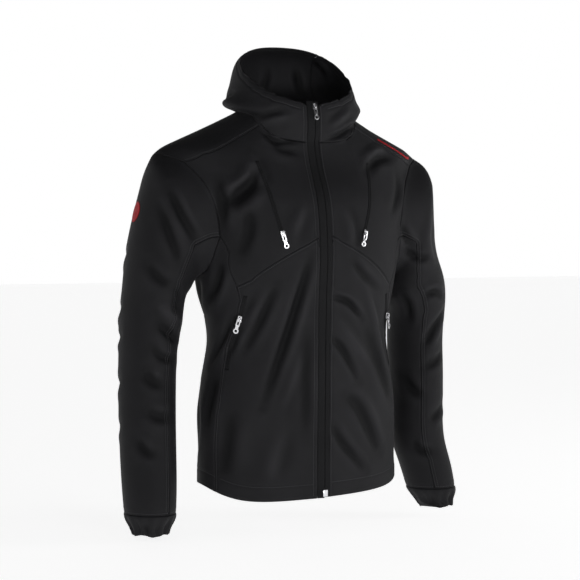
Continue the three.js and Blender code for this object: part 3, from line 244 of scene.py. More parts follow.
def through(points, step):
    """A smooth line through some points, at an even step."""
    p = [Vector(q) for q in points]
    p = [p[0] * 2 - p[1]] + p + [p[-1] * 2 - p[-2]]
    line = []
    for a, b, c, d in zip(p, p[1:], p[2:], p[3:]):
        n = max(2, int((c - b).length / step))
        for i in range(n):
            t = i / n
            line.append(((2 * b) + (c - a) * t + (2 * a - 5 * b + 4 * c - d) * t * t
                         + (3 * b - a - 3 * c + d) * t ** 3) / 2)
    return line + [p[-2]]


def laid_on(line, part):
    """The line laid on the cloth, and the direction out of the cloth along it."""
    found = [skins[part].find_nearest(q)[:2] for q in line]
    return np.array([f[0] for f in found]), np.array([f[1] for f in found])


# places that the creases leave alone: under the sliders, the strip and the patch
STILL = np.array([(80, -114, -222), (-87, -114, -226), (152, -69, -378), (-152, -69, -380), (0, -68, 8),
                  (170, -26, -55), (200, -20, -66), (225, -10, -74), (-303, 49, -182)]) * MM
STILL_REACH = 22 * MM
# the pushes also set the cloth's painted shade in crease troughs and painted light on crease ridges
crease_shading_push = np.zeros(count)                 # how far each point was pushed out or in by the creases
CREASE_STEP = 4 * MM                   # from one point of a crease's line to the next
CREASE_REACH = 3.6                     # how far to its sides a crease is felt, in its own widths
POINTS_AT_A_TIME = 4000


def crease(points, part, width, height, lean=0.35, peak=0.5, ends=True):
    """A soft trough or ridge along a line on the cloth, fading at both ends, with a swell on each side."""
    at, out = laid_on(through([Vector(p) * MM for p in points], CREASE_STEP), part)
    if len(at) < 3:
        return
    along = np.gradient(at, axis=0)
    along /= np.linalg.norm(along, axis=1)[:, None] + 1e-12
    across = np.cross(out, along)
    width, height, reach = width * MM, height * MM, width * MM * CREASE_REACH
    inside = np.all((place > at.min(0) - reach) & (place < at.max(0) + reach), axis=1)
    near = np.where(in_part[part] & inside)[0]
    push = np.zeros(len(near))
    for start in range(0, len(near), POINTS_AT_A_TIME):
        block = place[near[start:start + POINTS_AT_A_TIME]]
        gap = np.linalg.norm(block[:, None] - at[None], axis=2)
        k = gap.argmin(1)
        side = ((block - at[k]) * across[k]).sum(1)
        far = gap[np.arange(len(block)), k]
        s = np.where(np.abs(side) > 1e-9, np.sign(side), 1) * far / width
        t = k / (len(at) - 1)
        t = np.where(t < peak, t / (2 * peak), 0.5 + (t - peak) / (2 * (1 - peak)))
        fade = np.sin(math.pi * np.clip(t, 0.03, 0.97)) ** 0.8 if ends else 1.0
        swells = lean * np.exp(-((s - 1.9) / 0.9) ** 2), 0.22 * np.exp(-((s + 1.9) / 1.1) ** 2)
        shape = np.exp(-s * s) - swells[0] - swells[1]
        push[start:start + POINTS_AT_A_TIME] = height * shape * fade * (np.abs(s) < CREASE_REACH)
    for still in STILL:
        push *= 1 - np.exp(-((np.linalg.norm(place[near] - still, axis=1) / STILL_REACH) ** 2))
    place[near] += normals[near] * push[:, None]
    crease_shading_push[near] += push


# width, height (a trough is below 0), points on the cloth, all in millimetres
BODY_CREASES = [
    (8, -4.5, (-32, -117, -254), (-49, -111, -318), (-75, -101, -407), (-117, -88, -531)),
    (8, -3.5, (-94, -103, -310), (-115, -89, -366), (-143, -65, -432)),
    (7, -3, (-128, -87, -325), (-145, -69, -371), (-166, -42, -443)),
    (7, -2.6, (-155, -61, -360), (-166, -34, -408), (-182, -8, -459)),
    (10, -2.2, (-37, -109, -393), (-38, -107, -483), (-38, -105, -590)),
    (9, 1.8, (-50, -106, -432), (-68, -102, -491), (-88, -97, -538)),
    (14, -2.5, (-161, -62, -526), (-168, -55, -588), (-176, -48, -656)),
    (12, 1.8, (-82, -98, -562), (-96, -94, -615), (-106, -91, -659)),
    (9, -3.2, (-179, -54, -271), (-183, -37, -313), (-185, -3, -350)),
    (10, -2.6, (-178, -30, -474), (-189, -24, -519), (-192, -18, -573)),
    (14, -5.5, (-122, -75, -122), (-153, -74, -151), (-178, -60, -172)),
    (9, 3.5, (-123, -60, -86), (-144, -68, -122), (-174, -60, -144)),
    (8, 2.5, (-125, -60, -86), (-116, -71, -107), (-114, -83, -136)),
    (10, -3, (-143, -85, -172), (-142, -88, -215), (-156, -79, -264)),
    (9, 2.4, (-44, -107, -168), (-58, -111, -200), (-71, -112, -232)),
    (9, -3.2, (-184, -47, -118), (-181, -58, -170), (-180, -57, -223)),
    (5.5, -4, (9, -112, -333), (47, -107, -345), (80, -100, -375)),
    (12, -4.2, (85, -98, -382), (112, -88, -438), (160, -63, -527)),
    (7, -3.8, (11, -110, -407), (38, -105, -433), (74, -100, -491)),
    (11, -4.2, (41, -106, -511), (76, -100, -542), (125, -83, -623)),
    (8, -3.6, (12, -107, -564), (42, -104, -605), (90, -96, -656)),
    (7, 2.6, (83, -105, -315), (114, -88, -380), (150, -70, -470)),
    (9, 2.2, (21, -110, -373), (52, -106, -407), (91, -94, -456)),
    (7, -2.4, (50, -116, -265), (79, -108, -296), (123, -90, -325)),
    (9, -3.6, (105, -73, -108), (135, -58, -85), (175, -40, -78)),
    (8, 2.6, (105, -62, -82), (138, -49, -66), (165, -39, -65)),
    (9, -2.6, (183, -45, -108), (180, -55, -145), (155, -78, -187)),
    (8, 2, (34, -108, -169), (48, -112, -206), (51, -115, -242)),
    (5.5, -3.6, (-96, -46, -38), (-75, -59, -54), (-29, -64, -55)),
    (8, -2.8, (-89, -55, -51), (-69, -64, -67), (-33, -68, -75)),
    (8, -3.4, (186, -20, -300), (190, 0, -352), (188, 30, -415)),
    (9, -3, (178, -40, -395), (190, -5, -440), (186, 40, -470)),
    (11, -2.8, (185, 30, -520), (190, 0, -570), (184, -30, -640)),
    (9, -3.2, (-188, 10, -300), (-190, 35, -350), (-180, 60, -395)),
    (11, -2.6, (-186, 35, -500), (-188, 20, -560), (-184, 40, -630)),
    # the back: pulls from the shoulder blades, slack over the small of the back
    (12, -3.8, (-150, 125, -190), (-118, 135, -260), (-95, 130, -350)),
    (12, -3.6, (148, 125, -200), (120, 135, -275), (88, 130, -372)),
    (9, -3, (-60, 140, -175), (-48, 140, -235), (-52, 135, -300)),
    (10, -2.6, (55, 140, -160), (66, 140, -215), (60, 138, -290)),
    (10, -4, (-168, 100, -392), (-110, 130, -408), (-42, 132, -396)),
    (9, -3.6, (164, 100, -410), (100, 130, -430), (36, 132, -414)),
    (11, -3, (-150, 115, -455), (-85, 130, -474), (-10, 132, -462)),
    (10, -2.8, (150, 112, -480), (95, 128, -500), (48, 132, -492)),
    (12, -2.8, (-120, 125, -520), (-138, 120, -590), (-146, 115, -660)),
    (12, -2.6, (30, 132, -530), (22, 132, -600), (28, 130, -665)),
    (11, -2.6, (118, 125, -540), (132, 120, -600), (136, 118, -662)),
    (9, 2.2, (-28, 135, -330), (5, 135, -372), (55, 135, -388)),
    (8, -2.4, (-175, 90, -245), (-160, 110, -292), (-150, 118, -345)),
    (8, -2.4, (176, 90, -250), (165, 108, -300), (148, 118, -342)),
    (9, -2.6, (-190, 70, -75), (-150, 100, -98), (-105, 120, -100)),
    (9, -2.4, (195, 65, -78), (152, 100, -92), (112, 120, -104)),
    (8, -2.2, (-60, 118, -20), (0, 128, -34), (62, 118, -22)),
]
HOOD_CREASES = [
    (5.5, -3.2, (27, -64, -50), (55, -60, -40), (95, -20, -12)),
    (7, 2.2, (-101, -40, -22), (-81, -55, -14), (-49, -64, -9)),
    (8, -2.4, (-117, -19, -1), (-96, -45, -11), (-58, -62, -2)),
    (7, 2, (31, -68, -29), (59, -62, -9), (81, -53, 7)),
    (7, -3, (51, 109, 96), (59, 115, 70), (64, 113, 43)),
    (7, -3, (80, 85, 110), (89, 74, 98), (100, 70, 77)),
    (8, -2.8, (-70, 112, 88), (-78, 112, 62), (-74, 110, 36)),
    (7, -2.4, (-12, 124, 100), (-6, 128, 76), (-14, 126, 48)),
    (8, -2.2, (-125, 20, 40), (-118, 60, 30), (-100, 90, 26)),
    (8, -2.2, (128, 10, 30), (124, 50, 24), (104, 86, 22)),
]
ARM_RIGHT_CREASES = [
    (8, -4.2, (-272, -27, -137), (-256, -44, -183), (-223, -44, -238)),
    (8, -3.4, (-283, -18, -170), (-275, -36, -218), (-255, -41, -271)),
    (8, -4.6, (-289, -18, -381), (-269, -17, -397), (-246, -6, -414)),
    (9, -3, (-309, -6, -466), (-296, -12, -483), (-274, -13, -491)),
    (9, -3, (-307, -10, -533), (-290, -16, -545), (-260, -9, -549)),
    (9, 3, (-289, -23, -338), (-271, -25, -360), (-242, -3, -379)),
    (9, -2.8, (-306, -9, -271), (-293, -24, -296), (-270, -33, -312)),
    (7, -2.6, (-299, -11, -418), (-282, -15, -438), (-254, -5, -448)),
    (8, -2.6, (-322, -2, -586), (-310, -15, -606), (-289, -22, -613)),
    (9, -2.6, (-259, -33, -312), (-252, -26, -339), (-258, -20, -366)),
    (8, -3.2, (-300, 60, -250), (-275, 88, -290), (-240, 90, -320)),
    (8, -4, (-318, 60, -350), (-300, 88, -375), (-262, 95, -385)),
    (8, -3.6, (-322, 50, -402), (-300, 88, -420), (-265, 95, -440)),
    (9, -2.8, (-325, 50, -480), (-305, 80, -510), (-280, 84, -530)),
    (9, -2.6, (-325, 45, -560), (-305, 74, -585), (-272, 76, -600)),
    (8, -3.4, (-205, 10, -300), (-215, 45, -320), (-232, 75, -335)),
    (8, -2.6, (-232, 20, -430), (-238, 50, -455), (-250, 75, -478)),
    (9, -2.6, (-262, 90, -160), (-240, 95, -200), (-215, 85, -240)),
]
ARM_LEFT_CREASES = [
    (7, -4.2, (188, -53, -204), (205, -48, -230), (231, -41, -249)),
    (7, -3.4, (201, -44, -245), (228, -35, -264), (263, -36, -268)),
    (8, -4.6, (313, -6, -367), (286, -16, -401), (264, -13, -436)),
    (7, -3.4, (256, -26, -340), (279, -28, -333), (305, -16, -345)),
    (8, -3, (216, -4, -329), (234, -2, -358), (240, 3, -396)),
    (8, -3.2, (312, 0, -452), (285, -14, -468), (262, -11, -479)),
    (9, -3, (234, 16, -487), (243, 1, -517), (263, -14, -532)),
    (8, -2.6, (318, 5, -548), (294, -15, -564), (273, -20, -578)),
    (8, -2.6, (242, -5, -615), (252, -17, -634), (282, -27, -638)),
    (8, 2.4, (259, -43, -186), (254, -43, -234), (276, -29, -276)),
    (8, -3, (298, 62, -240), (275, 88, -275), (238, 90, -300)),
    (8, -4, (320, 55, -340), (302, 88, -362), (262, 96, -378)),
    (8, -3.6, (325, 48, -395), (305, 86, -412), (268, 96, -428)),
    (9, -2.6, (330, 50, -492), (310, 80, -520), (284, 84, -536)),
    (9, -2.6, (332, 44, -570), (312, 72, -592), (280, 74, -612)),
    (8, -3.2, (205, 10, -298), (214, 46, -318), (230, 75, -330)),
    (9, -2.6, (262, 90, -160), (242, 95, -205), (215, 85, -245)),
]
CREASE_STRENGTH = 1.75                 # on all the heights
# how high the swell on one side is, and how far along the crease is deepest, taken by turns
LEANS = (0.4, 0.2, 0.3, 0.5)
PEAKS = (0.4, 0.55, 0.65, 0.35, 0.5)
for part, rows in ((BODY, BODY_CREASES), (HOOD, HOOD_CREASES), (ARM_RIGHT, ARM_RIGHT_CREASES),
                   (ARM_LEFT, ARM_LEFT_CREASES)):
    normals = facing()
    for k, (width, height, *points) in enumerate(rows):
        crease(points, part, width, height * CREASE_STRENGTH,
               lean=LEANS[k % len(LEANS)], peak=PEAKS[k % len(PEAKS)])


# ------------------------------------------------------------------ seams and their lines
edge_faces = {}                        # the pieces on each side of each edge
for face in cloth.polygons:
    for key in face.edge_keys:
        edge_faces.setdefault(key, []).append(face.material_index)


def seam(piece, neighbour=None, where=None):
    """The line between two pieces, or along a piece's free edge, as points in order."""
    a = NAMES.index(piece)
    b = None if neighbour is None else NAMES.index(neighbour)
    links = {}
    for (u, v), pieces in edge_faces.items():
        same = sorted(pieces) == sorted([a, b]) if b is not None else pieces == [a]
        if same and (where is None or where(*place[u]) and where(*place[v])):
            links.setdefault(u, []).append(v)
            links.setdefault(v, []).append(u)
    best = []
    while links:
        start = next((v for v in links if len(links[v]) == 1), next(iter(links)))
        line, v = [start], start
        while links.get(v):
            w = links[v][0]
            links[v].remove(w)
            links[w].remove(v)
            line.append(w)
            v = w
        for v in line:
            if not links.get(v):
                links.pop(v, None)
        if len(line) > len(best):
            best = line
    return [Vector(place[v]) for v in best]


def even(line, step):
    """The same line at an even step."""
    p = np.array([tuple(q) for q in line])
    if len(p) < 2:
        return []
    run = np.concatenate([[0], np.cumsum(np.linalg.norm(np.diff(p, axis=0), axis=1))])
    at = np.linspace(0, run[-1], max(3, int(run[-1] / step)))
    return [Vector([np.interp(t, run, p[:, k]) for k in range(3)]) for t in at]


def surface(names):
    """The cloth of some pieces, to lay things on."""
    chosen = {NAMES.index(n) for n in names}
    faces = [tuple(p.vertices) for p in cloth.polygons if p.material_index in chosen]
    return BVHTree.FromPolygons([Vector(p) for p in place], faces)


BESIDE_STEP = 5 * MM


def beside(line, piece, distance):
    """A line that runs beside a seam, inside one of its pieces."""
    line = even(line, BESIDE_STEP)
    if len(line) < 4:
        return []
    skin = surface([piece])
    both = []
    for sign in (1, -1):               # the side that lies on the piece is the nearer one
        out, off = [], 0
        for k, p in enumerate(line):
            along = (line[min(k + 1, len(line) - 1)] - line[max(k - 1, 0)]).normalized()
            up = skin.find_nearest(p)[1]
            goal = p + up.cross(along).normalized() * distance * MM * sign
            hit, _, _, gap = skin.find_nearest(goal)
            out.append(hit)
            off += gap
        both.append((off, sign, out))
    return min(both)[2]


# places on the cloth, in metres
FRONT_LEFT = lambda x, y, z: y < -0.045 and 0.004 < x < 0.02
FRONT_RIGHT = lambda x, y, z: y < -0.045 and -0.02 < x < -0.004
HEM = lambda x, y, z: z < -0.64 and (x > 0.0105 or x < -0.0165 or y > 0)
OPENING = lambda x, y, z: z > 0.0 and abs(x) > 0.0215 or z > 0.028
# piece, its neighbour or its free edge, how far inside the piece the stitches run in millimetres
STITCHES = [
    *[(p, None, HEM, 26) for p in ("front_left", "front_right", "side_left", "side_right", "back")],
    *[(p, None, FRONT_LEFT, 3.6) for p in ("chest_left", "front_left", "hood_side_left")],
    *[(p, None, FRONT_RIGHT, 7.5) for p in ("chest_right", "front_right", "hood_side_right")],
    ("yoke", "chest_left", None, 3.2), ("yoke", "chest_right", None, 3.2), ("yoke", "back", None, 3.2),
    ("front_left", "chest_left", None, 3.4), ("front_right", "chest_right", None, 3.4),
    ("front_left", "side_left", None, 3), ("front_right", "side_right", None, 3),
    ("back", "side_left", None, 3), ("back", "side_right", None, 3),
    *[(f"hood_side_{s}", "hood_centre", None, 3) for s in ("left", "right")],
    *[(p, None, OPENING, 12) for p in ("hood_side_left", "hood_side_right", "hood_centre")],
]
for s in ("left", "right"):
    for where in (lambda x, y, z: y < 0.03, lambda x, y, z: y > 0.03):
        STITCHES += [(f"sleeve_outer_{s}", f"sleeve_under_{s}", where, d) for d in (2.4, 7.4)]
    STITCHES += [(f"sleeve_outer_{s}", f"cuff_{s}", None, 3.5), (f"sleeve_under_{s}", f"cuff_{s}", None, 3.5)]
stitch_lines = []
for name, neighbour, where, distance in STITCHES:
    line = beside(seam(name, neighbour, where), name, distance)
    if line:
        stitch_lines.append((PANELS[name][0], line))
normals = facing()
THREAD_WIDTH, THREAD_DEPTH = 2.6, -0.7  # how the thread draws the cloth in, in millimetres
for part, line in stitch_lines:
    crease([p / MM for p in line], part, THREAD_WIDTH, THREAD_DEPTH, lean=0.3, ends=False)

# the yoke's free neck edge is moved onto the hood's; the neck line holds all points where the two meet
NECK_REACH = 7 * MM
neck_line = []
used_once = [key for key, pieces in edge_faces.items() if len(pieces) == 1]
hood_edge = [(Vector(place[u]), Vector(place[v])) for u, v in used_once
             if NAMES[edge_faces[(u, v)][0]].startswith("hood")]
for v in {v for key in used_once if edge_faces[key][0] == NAMES.index("yoke") for v in key}:
    p, best = Vector(place[v]), None
    for a, b in hood_edge:
        t = max(0, min(1, (p - a).dot(b - a) / max((b - a).length_squared, 1e-12)))
        q = a.lerp(b, t)
        if best is None or (q - p).length < (best - p).length:
            best = q
    if (best - p).length < NECK_REACH:
        place[v] = best
        neck_line.append(best)
for key, pieces in edge_faces.items():
    joined = [NAMES[k] for k in pieces]
    if "yoke" in joined and any(n.startswith("hood") for n in joined):
        neck_line += [Vector(place[v]) for v in key]
facing()                               # puts the moved points in the mesh
FULLEST_SHADE_FOLD = 4 * MM                     # a fold as high as this gets the most painted shade in a trough and painted light on a ridge
# painted shade and light for the cloth's colour: darker in crease troughs, lighter on crease ridges
crease_shade = cloth.attributes.new("crease_shade", "FLOAT", "POINT")
crease_shade.data.foreach_set("value", np.clip(crease_shading_push / FULLEST_SHADE_FOLD, -1, 1))
skins = [skin_of(part) for part in (BODY, ARM_LEFT, ARM_RIGHT, HOOD)]


# ------------------------------------------------------------------ materials
def new_material(name):
    material = bpy.data.materials.new(name)
    material.use_nodes = True
    tree = material.node_tree
    return material, tree, tree.nodes["Principled BSDF"]


def group(name, inputs, outputs):
    g = bpy.data.node_groups.new(name, "ShaderNodeTree")
    for n, default in inputs:
        socket = g.interface.new_socket(n, in_out="INPUT", socket_type="NodeSocketFloat")
        socket.default_value = default
    for n, kind in outputs:
        g.interface.new_socket(n, in_out="OUTPUT", socket_type=kind)
    return g, g.nodes.new("NodeGroupInput"), g.nodes.new("NodeGroupOutput")


def node(tree, kind, inputs=(), **settings):
    n = tree.nodes.new(kind)
    for key, value in settings.items():
        setattr(n, key, value)
    for key, value in dict(inputs).items():
        if hasattr(value, "is_output"):
            tree.links.new(value, n.inputs[key])
        else:
            n.inputs[key].default_value = value
    return n


def math_node(tree, operation, *values):
    return node(tree, "ShaderNodeMath", dict(enumerate(values)), operation=operation).outputs[0]


def blend(tree, amount, start, end):
    """A colour between two others; 6 and 7 are the mix node's colour inputs, 2 its colour output."""
    return node(tree, "ShaderNodeMix", {"Factor": amount, 6: start, 7: end}, data_type="RGBA").outputs[2]


def noise(tree, **values):
    """A noise texture; its inputs are named with _ for a space."""
    inputs = {key.replace("_", " "): value for key, value in values.items()}
    return node(tree, "ShaderNodeTexNoise", inputs).outputs["Fac"]


def weave_group():
    """A fine twill: two sets of slanting threads, with slubs and a slow change of tone."""
    g, given, result = group("weave", [("Threads", 700.0), ("Slubs", 260.0)],
                             [("Height", "NodeSocketFloat"), ("Tone", "NodeSocketFloat")])
    at = node(g, "ShaderNodeTexCoord").outputs["Object"]
    turned = node(g, "ShaderNodeMapping", {"Vector": at, "Rotation": (0.5, 1.3, 0.9)}).outputs[0]
    one_way, other_way = [
        node(g, "ShaderNodeTexWave", {"Vector": way, "Scale": given.outputs["Threads"], "Distortion": 1.2,
                                      "Detail": 1.0}, bands_direction="DIAGONAL").outputs["Fac"]
        for way in (at, turned)]
    slubs = noise(g, Vector=at, Scale=given.outputs["Slubs"], Detail=4.0)
    slow = noise(g, Vector=at, Scale=9.0, Detail=3.0, Roughness=0.55)
    threads = math_node(g, "MULTIPLY", one_way, other_way)
    g.links.new(math_node(g, "ADD", threads, math_node(g, "MULTIPLY", slubs, 0.8)), result.inputs["Height"])
    g.links.new(slow, result.inputs["Tone"])
    return g


WEAVE = weave_group()


def cloth_material(name, dark, light, roughness, sheen, threads, relief):
    """Woven cloth between two tones, with painted light on crease ridges and painted shade in crease troughs;
    relief is the height of the weave in metres.
    """
    material, tree, surface_node = new_material(name)
    weave = node(tree, "ShaderNodeGroup", node_tree=WEAVE)
    weave.inputs["Threads"].default_value = threads
    # painted shade and light: the crease height makes troughs darker and ridges lighter
    crease_shade_node = node(tree, "ShaderNodeAttribute", attribute_name="crease_shade").outputs["Fac"]
    tone = math_node(tree, "ADD", math_node(tree, "MULTIPLY", weave.outputs["Tone"], 0.8),
                     math_node(tree, "MULTIPLY", crease_shade_node, 0.6))
    tone = math_node(tree, "ADD", tone, math_node(tree, "MULTIPLY", weave.outputs["Height"], 0.12))
    tree.links.new(blend(tree, tone, dark, light), surface_node.inputs["Base Color"])
    rough = math_node(tree, "ADD", math_node(tree, "MULTIPLY", weave.outputs["Height"], 0.08), roughness)
    tree.links.new(rough, surface_node.inputs["Roughness"])
    bump = node(tree, "ShaderNodeBump", {"Strength": 0.5, "Distance": relief,
                                         "Height": weave.outputs["Height"]})
    tree.links.new(bump.outputs[0], surface_node.inputs["Normal"])
    surface_node.inputs["Sheen Weight"].default_value = sheen
    surface_node.inputs["Sheen Roughness"].default_value = 0.4
    surface_node.inputs["Specular IOR Level"].default_value = 0.12
    return material


SOFTSHELL = cloth_material("softshell cloth", (0.0045, 0.0045, 0.0052, 1), (0.0185, 0.0182, 0.0202, 1),
                           roughness=0.6, sheen=0.02, threads=700, relief=0.0002)
ZIP_TAPE = cloth_material("zip tape", (0.004, 0.004, 0.0045, 1), (0.011, 0.011, 0.012, 1),
                          roughness=0.7, sheen=0.0, threads=420, relief=0.0003)
THREAD = cloth_material("sewing thread", (0.04, 0.04, 0.043, 1), (0.1, 0.098, 0.104, 1),
                        roughness=0.5, sheen=0.05, threads=1600, relief=0.0002)
COIL = cloth_material("zip coil", (0.012, 0.012, 0.013, 1), (0.03, 0.03, 0.031, 1),
                      roughness=0.38, sheen=0.0, threads=900, relief=0.0001)
RED = cloth_material("red woven trim", (0.25, 0.006, 0.01, 1), (0.5, 0.016, 0.022, 1),
                     roughness=0.55, sheen=0.03, threads=520, relief=0.0003)


def metal_material():
    """Bright plating with fine scratches, and duller where hands rub it."""
    material, tree, surface_node = new_material("silver plating")
    at = node(tree, "ShaderNodeTexCoord").outputs["Object"]
    streaks = node(tree, "ShaderNodeMapping", {"Vector": at, "Scale": (900, 900, 120)}).outputs[0]
    fine = noise(tree, Vector=streaks, Scale=3.0, Detail=5.0)
    rubbed = noise(tree, Vector=at, Scale=420.0, Detail=3.0)
    colour = blend(tree, rubbed, (0.62, 0.62, 0.64, 1), (0.86, 0.86, 0.88, 1))
    tree.links.new(colour, surface_node.inputs["Base Color"])
    rough = math_node(tree, "ADD", math_node(tree, "MULTIPLY", fine, 0.22), 0.12)
    tree.links.new(rough, surface_node.inputs["Roughness"])
    bump = node(tree, "ShaderNodeBump", {"Strength": 0.25, "Distance": 0.00005, "Height": fine})
    tree.links.new(bump.outputs[0], surface_node.inputs["Normal"])
    surface_node.inputs["Metallic"].default_value = 1.0
    return material


METAL = metal_material()


# ------------------------------------------------------------------ pieces
def piece(name, mesh, material, slot, replaced=(), body="jacket", thick=0.0):
    """Puts a finished mesh in the scene, on its body."""
    mesh.materials.clear()
    mesh.materials.append(material)
    for face in mesh.polygons:
        face.use_smooth = True
    obj = bpy.data.objects.new(name, mesh)
    scene.collection.objects.link(obj)
    if thick:
        wall = obj.modifiers.new("wall", "SOLIDIFY")
        wall.thickness, wall.offset, wall.use_rim = thick, -1, True
    if replaced:
        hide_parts(*replaced)
    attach(obj, body)
    return obj


def edge_down(bm, width, drop, neck_drop=None):
    """Rolls the piece's edge down into the seam. Along the back of the neck the hood's edge goes straight
    down into the yoke's instead, so that no light comes through."""
    edge = {v for v in bm.verts if v.is_boundary}
    up = {v: v.normal.copy() for v in edge}
    bmesh.ops.inset_region(bm, faces=bm.faces, thickness=width, depth=0, use_boundary=True,
                           use_even_offset=False)
    for v in edge:
        if neck_drop is None or min((v.co - p).length for p in neck_line) > NECK_REACH:
            v.co -= up[v] * drop
        else:
            v.co.z -= neck_drop


def finished(bm, name):
    """A mesh of this name from the bmesh, which is freed."""
    mesh = bpy.data.meshes.new(name)
    bm.to_mesh(mesh)
    bm.free()
    return mesh


PANEL_EDGE, PANEL_DROP, PANEL_WALL = 1.9 * MM, 0.9 * MM, 1.3 * MM
HOOD_DROP = 1.2 * MM
for k, name in enumerate(NAMES):
    bm = bmesh.new()
    bm.from_mesh(cloth)
    bmesh.ops.delete(bm, geom=[f for f in bm.faces if f.material_index != k], context="FACES")
    bm.normal_update()
    neck_drop = HOOD_DROP if name.startswith("hood") else 0.0 if name == "yoke" else None
    edge_down(bm, PANEL_EDGE, PANEL_DROP, neck_drop)
    for f in bm.faces:
        f.material_index = 0
    mesh = finished(bm, name + "_cloth")
    _, width, length, area, hung = PANELS[name]
    obj = piece(name + "_cloth", mesh, SOFTSHELL, "softshell", (name,), thick=PANEL_WALL)


def on_front(x, z):
    """The point of the body's front behind this one, and the direction out of the cloth there."""
    before_it = Vector((x * MM, -0.4, z * MM))
    return skins[BODY].ray_cast(before_it, Vector((0, 1, 0)))[:2]


def swept(name, points, ups, outline, material, slot, replaced):
    """A band along a line, with the same outline all the way: across and up, in millimetres."""
    bm = bmesh.new()
    ring = [bm.verts.new((0, 0, 0)) for _ in outline]
    edges = [bm.edges.new((a, b)) for a, b in zip(ring, ring[1:] + ring[:1])]
    rows = [ring]
    for _ in points[1:]:
        made = bmesh.ops.extrude_edge_only(bm, edges=edges)["geom"]
        fresh = [g for g in made if isinstance(g, bmesh.types.BMVert)]
        row = [next(e.other_vert(v) for e in v.link_edges if e.other_vert(v) in fresh) for v in rows[-1]]
        rows.append(row)
        edges = [bm.edges.get((a, b)) for a, b in zip(row, row[1:] + row[:1])]
    for k, row in enumerate(rows):
        along = (points[min(k + 1, len(points) - 1)] - points[max(k - 1, 0)]).normalized()
        up = ups[k]
        across = along.cross(up).normalized()
        for v, (x, y) in zip(row, outline):
            v.co = points[k] + across * x * MM + up * y * MM
    for end in (rows[0], rows[-1]):
        bmesh.ops.contextual_create(bm, geom=end)
    bmesh.ops.recalc_face_normals(bm, faces=bm.faces)
    return piece(name, finished(bm, name), material, slot, replaced)


def add_bead(bm, at, axes, size):
    """A small rounded bar; its half sizes go with its three axes."""
    turn = Matrix(axes).transposed().to_4x4()
    stretch = Matrix.Diagonal((*size, 1))
    bmesh.ops.create_icosphere(bm, subdivisions=1, radius=1, matrix=Matrix.Translation(at) @ turn @ stretch)


TOOTH_SIDE = 0.45                      # how far each tooth lies to its own side
TOOTH_SHARE = 0.36                     # half a tooth's share of the pitch
TOOTH_HIGH = 0.55 * MM                 # half its height


def coil(name, points, ups, width, pitch, below):
    """A zip's teeth: small rounded bars across the line, each from one side in turn. Millimetres."""
    bm = bmesh.new()
    line = even(points, pitch * MM)
    for k, p in enumerate(line[1:-1]):
        along = (line[k + 2] - line[k]).normalized()
        up = ups[min(len(ups) - 1, round(k * (len(ups) - 1) / max(1, len(line) - 1)))]
        across = along.cross(up).normalized()
        up = across.cross(along)
        shift = across * (TOOTH_SIDE if k % 2 else -TOOTH_SIDE) * MM - up * below * MM
        size = (width * MM / 2, pitch * MM * TOOTH_SHARE, TOOTH_HIGH)
        add_bead(bm, p + shift, (across, along, up), size)
    return piece(name, finished(bm, name), COIL, "zip_tape")


# pocket zips: two cloth lips with the coil between them; across and down the front in millimetres
POCKET_ZIPS = {
    "chest_zip_left": [(111, -92), (106, -125), (95, -175), (77, -227)],
    "chest_zip_right": [(-116, -92), (-108, -125), (-98, -175), (-84, -229)],
    "hand_zip_left": [(144, -332), (150, -380), (158, -425), (167, -466)],
    "hand_zip_right": [(-144, -332), (-150, -380), (-158, -425), (-167, -466)],
}
LIPS = [(-3.7, -0.5), (-3.7, 0.25), (-3.1, 0.75), (-1.0, 0.85), (-0.35, 0.55), (-0.3, -0.2), (0.3, -0.2),
        (0.35, 0.55), (1.0, 0.85), (3.1, 0.75), (3.7, 0.25), (3.7, -0.5)]
ROUTE_FINE, POCKET_STEP = 4, 3         # millimetres
for name, route in POCKET_ZIPS.items():
    line = even(through([(x, 0, z) for x, z in route], ROUTE_FINE), POCKET_STEP)
    laid = [on_front(p.x, p.z) for p in line]
    points, ups = [p for p, _ in laid], [n for _, n in laid]
    lips = swept(name + "_lips", points, ups, LIPS, ZIP_TAPE, "zip_tape", (name,))
    coil(name + "_coil", points, ups, width=1.6, pitch=1.6, below=0.0)

# main zip: two tapes that meet over the coil, and a flap behind them
TAPE_EDGE, TAPE_DROP, TAPE_WALL = 0.5 * MM, 0.45 * MM, 1.2 * MM
MIDDLE_WIDTH, ROUTE_STEP = 1.2 * MM, 8 * MM
COIL_TOP = 0.002                       # the coil ends here, behind the slider
FLAP = [(-13, -3.4), (-13.6, -4.0), (-13, -4.6), (13, -4.6), (13.6, -4.0), (13, -3.4)]
for name, flat in (("zip_tape_left", (0.01, 0.74)), ("zip_tape_right", (0.016, 0.74))):
    bm = outer_face(name)
    join_triangles(bm)
    bmesh.ops.subdivide_edges(bm, edges=bm.edges, cuts=3, use_grid_fill=True, smooth=0.3)
    bm.normal_update()
    edge_down(bm, TAPE_EDGE, TAPE_DROP)
    mesh = finished(bm, name + "_cloth")
    tape = piece(name + "_cloth", mesh, ZIP_TAPE, "zip_tape", (name,), thick=TAPE_WALL)

# the coil's line: the foremost points down the middle, where the two tapes meet
middle = sorted({(round(v.co.z, 4), tuple(v.co)) for v in nodes["zip_tape_left"].data.vertices
                 if v.co.x < MIDDLE_WIDTH})
route, last = [], None
for z, p in middle:
    if last is None or z - last > ROUTE_STEP:
        route.append(Vector((0, p[1], p[2])))
        last = z
    elif p[1] < route[-1].y:
        route[-1] = Vector((0, p[1], p[2]))
route_up = [Vector((0, -(b - a).z, (b - a).y)).normalized() for a, b in zip(route, route[1:])]
route_up = [u if u.y < 0 else -u for u in route_up + route_up[-1:]]
coil("main_zip_coil", [p for p in route if p.z < COIL_TOP], route_up, width=4.6, pitch=2.2, below=2.1)
flap = swept("inner_flap", route, route_up, FLAP, SOFTSHELL, "softshell", ())


# ------------------------------------------------------------------ strip and patch
TRIM_LIFT, TRIM_RIDGE, TRIM_WALL = 0.6 * MM, 0.35 * MM, 0.75 * MM


